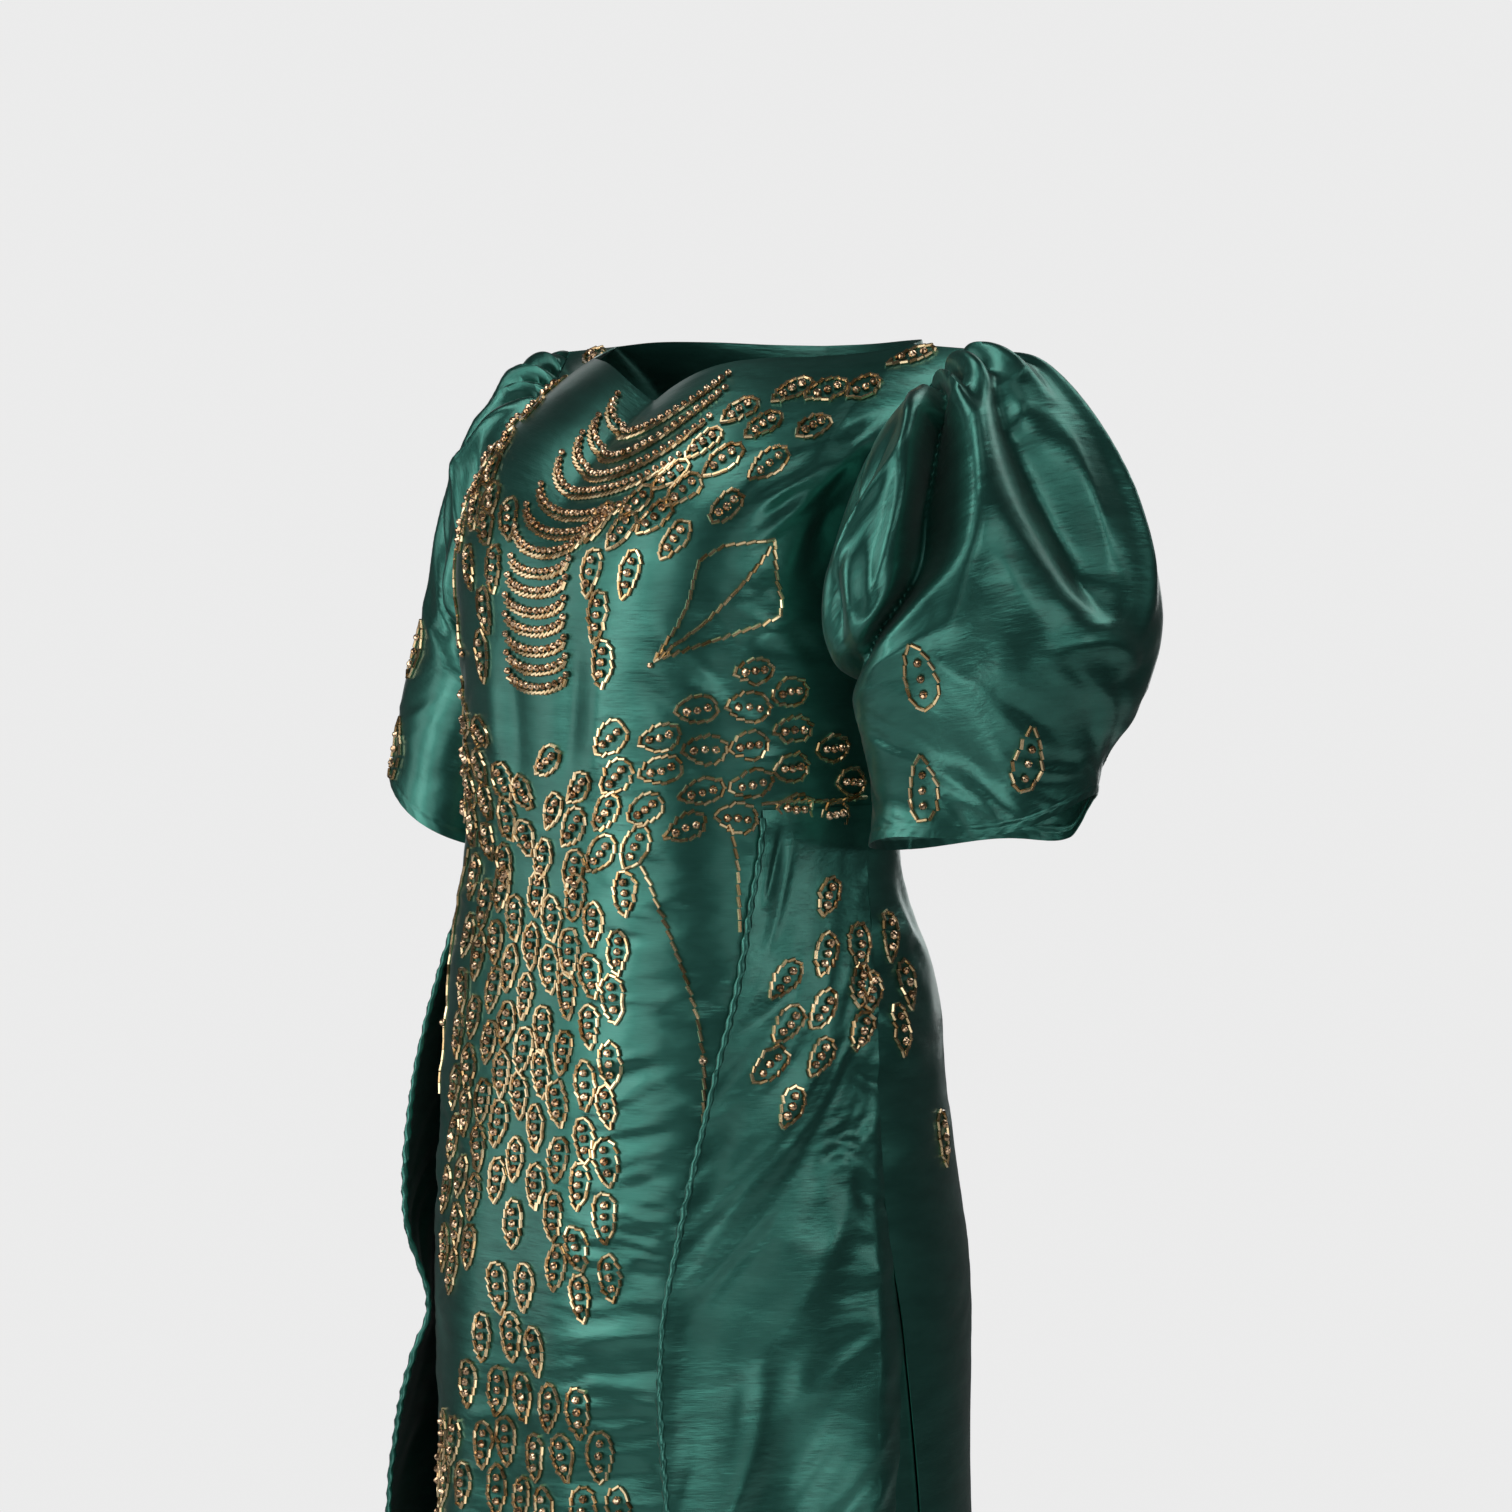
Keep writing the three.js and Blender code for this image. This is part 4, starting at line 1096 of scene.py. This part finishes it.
class Beads:
    """Bugles and crystals gathered for one joined piece of each."""

    def __init__(self, name):
        self.name, self.leaves, self.bugles, self.crystals = name, [], [], []

    def line(self, points, normals, kind):
        """Bugles from each point to the next."""
        way = np.diff(points, axis=0)
        reach = np.linalg.norm(way, axis=1, keepdims=True)
        normal = unit(normals[:-1] + normals[1:])
        side = unit(np.cross(normal, way))
        x = unit(way / reach + side * (kind["slant"] + random.normal(0, kind["stray"], reach.shape)))
        y = unit(np.cross(normal, x))
        place = (points[:-1] + points[1:]) / 2 + normal * BUGLE_RADIUS * BUGLE_SEAT
        length = np.minimum(kind["length"], reach * kind["length"] / kind["pitch"] * BUGLE_STRETCH)
        radius = np.full_like(length, BUGLE_RADIUS)
        size = np.concatenate([length, radius, radius], axis=1)
        self.bugles.append((place, np.stack([x, y, np.cross(x, y)], axis=-1) * size[:, None, :]))

    def crystal(self, points, normals, radius):
        """A crystal at each point."""
        side = unit(np.cross(normals, random.normal(size=points.shape)))
        size = radius * (1 + random.uniform(-CRYSTAL_STRAY, CRYSTAL_STRAY, (len(points), 1, 1)))
        self.crystals.append((points, np.stack([side, np.cross(normals, side), normals], axis=-1) * size))

    def leaf(self, surface, a, b, tip, length, width, kind=BUGLE_SHORT, radius=CRYSTAL_RADIUS):
        """One leaf: bugles round its edge and crystals along its middle. The tip is an angle from level."""
        stray = LEAF_STRAY
        length *= random.uniform(*stray["length"])
        width *= random.uniform(*stray["width"])
        turn = math.radians(tip + random.uniform(-stray["tip"], stray["tip"]))
        spin = np.array([[math.cos(turn), math.sin(turn)], [-math.sin(turn), math.cos(turn)]])
        edge = leaf_outline(length, width, kind["pitch"])
        edge[1:-1] += random.uniform(-stray["corner"], stray["corner"], edge[1:-1].shape)
        rib = np.linspace(*LEAF["rib"], LEAF_CRYSTALS) * length
        middle = np.stack([rib, random.uniform(-stray["crystal"], stray["crystal"], LEAF_CRYSTALS)], axis=-1)
        self.leaves.append((surface, a, b, edge @ spin, middle @ spin, kind, radius))

    def lay_leaves(self):
        """Lays the leaves on their cloth, all those of a surface at once."""
        for surface in dict.fromkeys(leaf[0] for leaf in self.leaves):
            leaves = [leaf for leaf in self.leaves if leaf[0] == surface]
            a, b = (np.array([leaf[k] for leaf in leaves], float) for k in (1, 2))
            change = change_on(SURFACES[surface], a, b)
            spots = []
            for leaf, one, *at in zip(leaves, change, a, b):
                spots.append(np.vstack([leaf[3], leaf[4]]) @ one.T + at)
            every = np.vstack(spots)
            points, normals = on_surface(SURFACES[surface], every[:, 0], every[:, 1])
            start = 0
            for leaf, spot in zip(leaves, spots):
                middle, end = start + len(leaf[3]), start + len(spot)
                self.line(points[start:middle], normals[start:middle], leaf[5])
                self.crystal(points[middle:end], normals[middle:end], leaf[6])
                start = end

    def build(self):
        self.lay_leaves()
        made = []
        for kind, placed, template, material in (
            ("bugles", self.bugles, bugle_template(), BUGLE_GLASS),
            ("crystals", self.crystals, crystal_template(), CRYSTAL_GLASS),
        ):
            if placed:
                made.append(self.join(kind, placed, *template, material))
        return made

    def join(self, kind, placed, verts, faces, material):
        """One piece of all beads of a kind, with a tone of its own for each bead."""
        centres, turns = (np.concatenate(parts) for parts in zip(*placed))
        points = centres[:, None, :] + np.einsum("nij,kj->nki", turns, verts)
        count = len(verts)
        joined = [[v + n * count for v in face] for n in range(len(centres)) for face in faces]
        piece = link_mesh(f"{self.name}_{kind}", points.reshape(-1, 3), joined, smooth=False)
        tone = piece.data.attributes.new("tone", "FLOAT", "POINT")
        tone.data.foreach_set("value", np.repeat(random.uniform(0, 1, len(centres)) ** 0.8, count))
        piece.data.materials.append(material)
        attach(piece, "root")
        return piece


RUN_SAMPLES = 400  # points by which a line is measured


def run_of(surface, a, b, pitch):
    """Points spaced evenly along a smooth line on a surface, through places given by a and b."""
    spots = np.linspace(0, len(a) - 1, RUN_SAMPLES)
    keys = {"k": np.arange(len(a), dtype=float), "a": np.array(a, float), "b": np.array(b, float)}
    fine_a, fine_b = read(keys, "k", spots, "a"), read(keys, "k", spots, "b")
    run = run_along(surface[0](fine_a, fine_b))
    at = np.linspace(0, run[-1], max(round(run[-1] / pitch), 1) + 1)
    return on_surface(surface, np.interp(at, run, fine_a), np.interp(at, run, fine_b))


# Newton's steps from a first guess to a place on the front
SEARCH = {"half": 170, "above": 4, "lowest": UNDERARM - 150, "highest": -12, "rounds": 14}
SEARCH_STEP = {"t": 0.002, "h": 0.5, "most_t": 0.1, "most_h": 15}
SEARCH_END = {"t": 0.99, "h": -9}


def place_on_front(x, z):
    """The t and height at which the front has a given x and z."""
    x, z = np.asarray(x, float), np.asarray(z, float)
    t, h = x / SEARCH["half"], np.clip(z - SEARCH["above"], SEARCH["lowest"], SEARCH["highest"])
    step_t, step_h = SEARCH_STEP["t"], SEARCH_STEP["h"]
    most_t, most_h = SEARCH_STEP["most_t"], SEARCH_STEP["most_h"]
    form = panel("front")
    for _ in range(SEARCH["rounds"]):
        here = form(t, h)
        dt = (form(t + step_t, h) - form(t - step_t, h)) / (2 * step_t)
        dh = (form(t, h + step_h) - form(t, h - step_h)) / (2 * step_h)
        ex, ez = x - here[..., 0], z - here[..., 2]
        det = dt[..., 0] * dh[..., 2] - dt[..., 2] * dh[..., 0]
        t = t + np.clip((ex * dh[..., 2] - ez * dh[..., 0]) / det, -most_t, most_t)
        h = h + np.clip((ez * dt[..., 0] - ex * dt[..., 2]) / det, -most_h, most_h)
        t, h = np.clip(t, -SEARCH_END["t"], SEARCH_END["t"]), np.minimum(h, SEARCH_END["h"])
    return t, h


# Necklace of curved rows under the neckline: the left end, the lowest place and the right end
ARCS = table(
    "x0 z0 x1 z1 x2 z2",
    (-24, -33, 18, -57, 74, -20),
    (-23, -47, 22, -72, 83, -29),
    (-24, -58, 20, -84, 91, -47),
    (-28, -71, 8, -95, 90, -71),
    (-29, -91, 12, -109, 66, -100),
    (-33, -104, 8, -121, 55, -108),
    (-36, -118, 0, -133, 40, -117),
)
SMALL_ARCS = {
    "levels": (-146, -158, -171, -183, -196, -208, -220), "left": -32, "right": 28, "middle": -2, "rise": 9,
}
ARC_BEND = math.radians(72)  # how far an arc turns from its lowest place to each end
ARC_SAMPLES = 60
ARC_PITCH = 5.9
ARC_CRYSTAL = 2.45
ARC_GAP = 4.0  # bugles below the crystals of a row


def arc(beads, x0, z0, x1, z1, x2, z2):
    """A curved row of crystals with bugles beneath it."""
    share = np.linspace(-1, 1, ARC_SAMPLES)
    wide = np.where(share < 0, x1 - x0, x2 - x1)
    tall = np.where(share < 0, z0 - z1, z2 - z1)
    x = x1 + wide * np.sin(share * ARC_BEND) / math.sin(ARC_BEND)
    z = z1 + tall * (1 - np.cos(share * ARC_BEND)) / (1 - math.cos(ARC_BEND))
    front = SURFACES["front"]
    t, h = place_on_front(x, z)
    points, normals = run_of(front, t, h, ARC_PITCH)
    beads.crystal(points, normals, ARC_CRYSTAL)
    t, h = place_on_front(x, z - ARC_GAP)
    beads.line(*run_of(front, t, h, BUGLE_SHINGLED["pitch"]), BUGLE_SHINGLED)


# Leaves of the chest, in rows from the shoulder down to the centre front
CHEST_LEAVES = table(
    "x z tip length",
    (161, -8, 214, 33), (152, -28, 214, 28), (139, -30, 217, 31), (123, -30, 218, 31), (106, -43, 222, 31),
    (101, -64, 226, 31), (92, -84, 230, 31), (74, -101, 234, 30), (46, -114, 240, 32),
    (148, -53, 217, 28), (126, -52, 220, 31), (119, -74, 223, 31), (105, -93, 227, 31), (92, -110, 232, 30),
    (69, -119, 238, 31),
    (141, -76, 222, 32), (131, -103, 228, 28), (109, -124, 236, 31), (82, -146, 252, 34),
    (50, -146, 258, 32), (58, -173, 262, 33), (62, -203, 264, 34),
)
# Waist: leaves of one side as shares of the way to the side seam, and those down the middle
WAIST_LEAVES = table(
    "t h tip length",
    (0.264, -252, 215, 30), (0.394, -248, 200, 31), (0.475, -232, 186, 30), (0.592, -230, 184, 30),
    (0.589, -205, 184, 26), (0.687, -221, 190, 27), (0.714, -244, 188, 27), (0.609, -254, 184, 28),
    (0.505, -257, 186, 30), (0.727, -268, 188, 27), (0.627, -277, 196, 29), (0.404, -271, 198, 31),
    (0.284, -275, 222, 30), (0.508, -283, 196, 30), (0.6, -300, 176, 29), (0.476, -306, 200, 29),
    (0.37, -294, 205, 30), (0.255, -299, 226, 29), (0.349, -319, 236, 29), (0.242, -325, 232, 29),
    (0.75, -293, 181, 28), (0.84, -256, 184, 25), (0.92, -279, 184, 25), (0.875, -301, 182, 25),
    (0.16, -282, 226, 29), (0.142, -309, 240, 29), (0.15, -338, 252, 30),
)
WAIST_MIDDLE = table(
    "t h tip",
    (0.035, -268, 212), (-0.07, -290, 318), (0.06, -300, 238), (-0.055, -319, 304), (0.02, -332, 256),
)
# The cluster under the waist, the tail below it, and the bare notch between them at the centre
CLUSTER = {
    "wide": 84, "top": -352, "bottom": -606, "column": 20.5, "row": 34, "length": 31, "width": 18.5,
    "stray": (2, 4), "below": 10,
}
TAIL = {
    "top": -572, "bottom": -900, "column": 23, "row": 35, "begin": 8, "slope": 0.42, "turn": -745,
    "widest": 88, "length": 33, "width": 19, "stray": (2.5, 5), "beside": 6,
}
NOTCH = {"top": -540, "slope": 0.55, "half": 8}
HANG = {"down": 270, "spread": 0.08, "stray": 7}  # the way these leaves point, with degrees to a millimetre
HIP_LEAVES = table(
    "t h tip",
    (0.735, -402, 225), (0.848, -388, 240), (0.949, -409, 250), (0.99, -413, 262), (0.744, -430, 225),
    (0.833, -422, 235), (0.946, -438, 250), (0.70, -455, 215), (0.825, -452, 235), (0.752, -482, 248),
    (0.955, -384, 258), (0.86, -352, 240),
)
BACK_LEAVES = table("angle h tip", (0.10, -380, 262), (0.2, -412, 270), (0.12, -440, 268), (0.42, -516, 262))
SLEEVE_LEAVES = table("s angle", (0.677, 78), (0.90, 78), (0.861, 29))
BIG_LEAF = table(
    "h t",
    (-200, 0.361), (-161, 0.442), (-137, 0.471), (-129, 0.531), (-127, 0.666), (-161, 0.657), (-172, 0.636),
    (-200, 0.361),
)
STRINGS = [
    table("a h", (94, -331), (102, -343), (130, -406), (141, -452), (142, -500)),
    table("a h", (149, -303), (156, -328), (158, -350), (160, -372)),
]
WAIST_LINE = table("a h", (168, -291), (190, -290), (222, -291), (250, -290))
STRING_BEAD = (141, -452)  # where a round bead sits on the first string
BIG_LEAF_RIB = ((0.655, -131), (0.372, -198))
BIG_LEAF_STALK = (0.355, -203)
# Sizes of the leaves that are alike: length and width
CHEST_WIDTH = 17
WAIST_WIDTH = 20
MIDDLE_LEAF = (28, 19)
HIP_LEAF = (29, 18)
SEAT_LEAF = (36, 19)
SLEEVE_LEAF = (43, 23)
# Radii of single crystals: a cuff leaf's, at a large leaf's stalk, and on a string
SLEEVE_CRYSTAL = 2.7
STALK_CRYSTAL = 2.2
STRING_CRYSTAL = 3.0
WAIST_STRAY = 2  # how far a waist leaf strays up or down
BIG_LEAF_PITCH = 0.9  # of a long bugle's own pitch
HIP_REACH = (0.03, 0.955)  # the shares of an overskirt between which its leaves lie


def both_sides(a, tip):
    """A place and its mirror image."""
    return ((a, tip), (-a, 180 - tip))


def bodice_beads(beads):
    for row in zip(*ARCS.values()):
        arc(beads, *row)
    small = SMALL_ARCS
    for z in small["levels"]:
        arc(beads, small["left"], z + small["rise"], small["middle"], z, small["right"], z + small["rise"])
    t, h = place_on_front(CHEST_LEAVES["x"], CHEST_LEAVES["z"])
    for across, level, tip, length in zip(t, h, CHEST_LEAVES["tip"], CHEST_LEAVES["length"]):
        for place, turned in both_sides(across, tip):
            beads.leaf("front", place, level, turned, length, CHEST_WIDTH)
    for side in (1, -1):
        big_leaf(beads, side)


def big_leaf(beads, side):
    """One large leaf in bugles alone, with a rib and a crystal at its stalk."""
    front = SURFACES["front"]
    corners = list(zip(BIG_LEAF["t"] * side, BIG_LEAF["h"]))
    rib = [(t * side, h) for t, h in BIG_LEAF_RIB]
    for (t0, h0), (t1, h1) in [*zip(corners[:-1], corners[1:]), rib]:
        beads.line(*run_of(front, (t0, t1), (h0, h1), BUGLE_LONG["pitch"] * BIG_LEAF_PITCH), BUGLE_LONG)
    stalk, level = BIG_LEAF_STALK
    beads.crystal(*on_surface(front, [stalk * side], [level]), STALK_CRYSTAL)


def waist_beads(beads):
    for t, h, tip, length in zip(*WAIST_LEAVES.values()):
        for place, turned in both_sides(t, tip):
            level = h + random.uniform(-WAIST_STRAY, WAIST_STRAY)
            beads.leaf("front", place, level, turned, length, WAIST_WIDTH)
    for t, h, tip in zip(*WAIST_MIDDLE.values()):
        beads.leaf("front", t, h, tip, *MIDDLE_LEAF)
    front = SURFACES["front"]
    for side in (1, -1):
        for rows, kind in ((WAIST_LINE, BUGLE_SHORT), (STRINGS[0], BUGLE_LONG), (STRINGS[1], BUGLE_LONG)):
            beads.line(*run_of(front, rows["a"] * side / TO_SIDE, rows["h"], kind["pitch"]), kind)
        a, h = STRING_BEAD
        beads.crystal(*on_surface(front, [a * side / TO_SIDE], [h]), STRING_CRYSTAL)


def strayed(a, h, stray):
    """A place moved a little at random, across and then up."""
    a += random.uniform(-stray[0], stray[0])
    return a, h + random.uniform(-stray[1], stray[1])


def cluster_places():
    """Places of the staggered leaves under the waist, across and up."""
    columns = int(CLUSTER["wide"] / CLUSTER["column"])
    for i in range(-columns, columns + 1):
        for j in range(int((CLUSTER["top"] - CLUSTER["bottom"]) / CLUSTER["row"]) + 1):
            h = CLUSTER["top"] - (j + 0.5 * (i % 2)) * CLUSTER["row"]
            a, h = strayed(i * CLUSTER["column"], h, CLUSTER["stray"])
            in_notch = abs(a) < (NOTCH["top"] - h) * NOTCH["slope"] + NOTCH["half"] and h < NOTCH["top"]
            if h > CLUSTER["bottom"] - CLUSTER["below"] and not in_notch:
                yield a, h


def tail_spread(level):
    """Half the width of the tail at a level. It widens and narrows again."""
    spread = min(TAIL["begin"] + (TAIL["top"] - level) * TAIL["slope"], TAIL["widest"])
    if level < TAIL["turn"]:
        spread = min(spread, TAIL["widest"] * (TAIL["bottom"] - level) / (TAIL["bottom"] - TAIL["turn"]))
    return spread


def tail_places():
    """Places of the tail's leaves, in staggered rows."""
    level, j = TAIL["top"], 0
    across, up = TAIL["stray"]
    while level > TAIL["bottom"]:
        spread = tail_spread(level)
        count = int(spread / TAIL["column"] + 0.5)
        for i in range(-count, count + 1):
            a = (i + 0.5 * (j % 2)) * TAIL["column"] + random.uniform(-across, across)
            if abs(a) < spread + TAIL["beside"]:
                yield a, level + random.uniform(-up, up)
        level -= TAIL["row"]
        j += 1


def skirt_beads(beads):
    for places, sizes in ((cluster_places(), CLUSTER), (tail_places(), TAIL)):
        for a, h in places:
            tip = HANG["down"] + a * HANG["spread"] + random.uniform(-HANG["stray"], HANG["stray"])
            beads.leaf("front", a / TO_SIDE, h, tip, sizes["length"], sizes["width"])


def hip_beads(beads, side):
    name = "overskirt_left" if side > 0 else "overskirt_right"
    for t, h, tip in zip(*HIP_LEAVES.values()):
        start = np.interp(h, EDGE_LEVELS, EDGE_ANGLES)
        share = np.clip(1 - turn_of("front", t) / start, *HIP_REACH)
        beads.leaf(name, share, h, tip if side > 0 else 180 - tip, *HIP_LEAF)


def seat_beads(beads):
    for angle, h, tip in zip(*BACK_LEAVES.values()):
        for place, turned in ((angle, tip), (math.pi - angle, 180 - tip)):
            beads.leaf("back_skirt", place, h, turned, *SEAT_LEAF)


def cuff_beads(beads, side):
    name = "sleeve_left" if side > 0 else "sleeve_right"
    for s, angle in zip(*SLEEVE_LEAVES.values()):
        beads.leaf(name, angle, s, 90, *SLEEVE_LEAF, BUGLE_LONG, SLEEVE_CRYSTAL)


def make_beads():
    """The beads of each part of the gown, as the piece of cloth that they lie on and their joined pieces."""
    plan = [
        ("bodice", "front", bodice_beads), ("waist", "front", waist_beads), ("skirt", "front", skirt_beads),
        ("seat", "back_skirt", seat_beads),
    ]
    for side, word in ((1, "left"), (-1, "right")):
        plan.append(("hip_" + word, "overskirt_" + word, lambda beads, side=side: hip_beads(beads, side)))
        plan.append(("cuff_" + word, "sleeve_" + word, lambda beads, side=side: cuff_beads(beads, side)))
    made = []
    for name, carrier, fill in plan:
        beads = Beads(name)
        fill(beads)
        made.append((carrier, beads.build()))
    return made


# Camera and light
CAMERA = {
    "azimuth": 49, "elevation": 4, "distance": 3.5, "target": (0.026, -0.026, -0.271),
    "lens": 126, "sensor": 36,
}


def direction(azimuth, elevation):
    """Unit vector from the object towards an azimuth, where 0 is in front and 90 its left."""
    a, e = math.radians(azimuth), math.radians(elevation)
    return Vector((math.sin(a) * math.cos(e), -math.cos(a) * math.cos(e), math.sin(e)))


def aim(item, middle, away, distance):
    """Puts a camera or lamp at a distance from a place and turns it to look there."""
    item.location = middle + away * distance
    item.rotation_euler = (-away).to_track_quat("-Z", "Y").to_euler()
    bpy.context.scene.collection.objects.link(item)


def make_camera():
    data = bpy.data.cameras.new("camera")
    data.lens = CAMERA["lens"]
    data.sensor_width = CAMERA["sensor"]
    camera = bpy.data.objects.new("camera", data)
    away = direction(CAMERA["azimuth"], CAMERA["elevation"])
    aim(camera, Vector(CAMERA["target"]), away, CAMERA["distance"])
    bpy.context.scene.camera = camera


LIGHT_MIDDLE = (0, 0, -0.4)
# Softboxes: the way to each in degrees, its distance and size in metres, and its power in watts
LIGHTS = table(
    "azimuth elevation distance wide tall power",
    (-115, 14, 3.4, 0.8, 2.2, 2),
    (-45, 8, 3.4, 0.8, 2.4, 10),
    (-18, 12, 3.2, 0.9, 2.4, 22),
    (6, 12, 3.2, 0.9, 2.4, 10),
    (62, 10, 3.6, 0.7, 2.2, 4),
    (84, 12, 3.4, 0.8, 1.0, 6),
    (110, 10, 3.4, 0.7, 1.0, 4.5),
    (150, 50, 3.3, 1.0, 1.0, 7),
    (90, 55, 3.3, 1.0, 1.0, 2),
    (25, 55, 3.2, 1.2, 1.2, 12),
    (-40, 60, 3.2, 1.2, 1.2, 12),
    (55, -24, 2.0, 1.6, 0.6, 5.5),
    (172, 30, 3.4, 1.0, 1.6, 10),
    (-150, 12, 3.4, 1.2, 2.2, 10),
    (-168, 50, 3.4, 1.2, 1.2, 8),
)


def make_lights():
    for number, (azimuth, elevation, distance, wide, tall, power) in enumerate(zip(*LIGHTS.values())):
        data = bpy.data.lights.new(f"softbox_{number}", "AREA")
        data.shape = "RECTANGLE"
        data.size, data.size_y = wide, tall
        data.energy = power
        lamp = bpy.data.objects.new(data.name, data)
        lamp.visible_camera = False
        aim(lamp, Vector(LIGHT_MIDDLE), direction(azimuth, elevation), distance)


BACKDROP = (0.835, 0.835, 0.835, 1)  # what the camera sees behind the gown
FELT = (0.016, 0.016, 0.017, 1)  # what the satin reflects between the lights


def make_world():
    world = bpy.data.worlds.new("studio")
    bpy.context.scene.world = world
    world.use_nodes = True
    tree = world.node_tree
    shown = tree.nodes["Background"]
    shown.inputs["Color"].default_value = BACKDROP
    felt = tree.nodes.new("ShaderNodeBackground")
    felt.inputs["Color"].default_value = FELT
    seen = tree.nodes.new("ShaderNodeLightPath")
    mix = tree.nodes.new("ShaderNodeMixShader")
    tree.links.new(seen.outputs["Is Camera Ray"], mix.inputs["Fac"])
    tree.links.new(felt.outputs["Background"], mix.inputs[1])
    tree.links.new(shown.outputs["Background"], mix.inputs[2])
    tree.links.new(mix.outputs["Shader"], tree.nodes["World Output"].inputs["Surface"])
    bpy.context.scene.view_settings.view_transform = "Standard"


FLOOR = {"radius": 2400, "sides": 96, "under_hem": 20}
FLOOR_FINISH = {"Base Color": (0.72, 0.72, 0.72, 1), "Roughness": 0.8}


def make_floor():
    turn = np.linspace(0, 2 * math.pi, FLOOR["sides"], endpoint=False)
    x, y = FLOOR["radius"] * np.cos(turn), FLOOR["radius"] * np.sin(turn)
    floor = link_mesh("floor", stack(x, y, HEM - FLOOR["under_hem"]), [tuple(range(FLOOR["sides"]))])
    material, _, shader = node_tree("pale_floor")
    set_inputs(shader, FLOOR_FINISH)
    floor.data.materials.append(material)


# The flat cut of each cloth: width, length and area in metres and square metres, and how it is held
CUTS = {
    "front": (0.74, 1.44, 0.857, "hung"),
    "back_bodice": (0.44, 0.32, 0.116, "hung"),
    "back_skirt": (0.68, 1.13, 0.625, "hung"),
    "overskirt_left": (0.25, 1.13, 0.201, "hung"),
    "overskirt_right": (0.25, 1.13, 0.198, "hung"),
    "sleeve_left": (0.66, 0.40, 0.158, "gathered"),
    "sleeve_right": (0.66, 0.40, 0.151, "gathered"),
}
SEWN_TO = {
    "front": ("back_bodice", "back_skirt"), "back_bodice": ("front",), "back_skirt": ("back_bodice",),
    "overskirt_left": ("front", "back_skirt"), "overskirt_right": ("front", "back_skirt"),
    "sleeve_left": ("front", "back_bodice"), "sleeve_right": ("front", "back_bodice"),
}


def declare_sheets(cloth, ropes, beads):
    """Gathers, for each cloth, the pieces sewn on it and the cloths it is sewn to, but does nothing with
    them.
    """
    for node, (width, length, area, held) in CUTS.items():
        on_it = [piece for carrier, pieces in beads if carrier == node for piece in pieces]
        on_it += [rope for carrier, rope in ropes.items() if carrier == node]
        held_by = [cloth[other].name for other in SEWN_TO[node]]


make_camera()
make_world()
make_lights()
make_floor()
cloth = make_cloth()
ropes = {
    "overskirt_left": make_edge_rope("edge_left", "overskirt_left", 1),
    "overskirt_right": make_edge_rope("edge_right", "overskirt_right", -1),
}
beads = make_beads()
declare_sheets(cloth, ropes, beads)
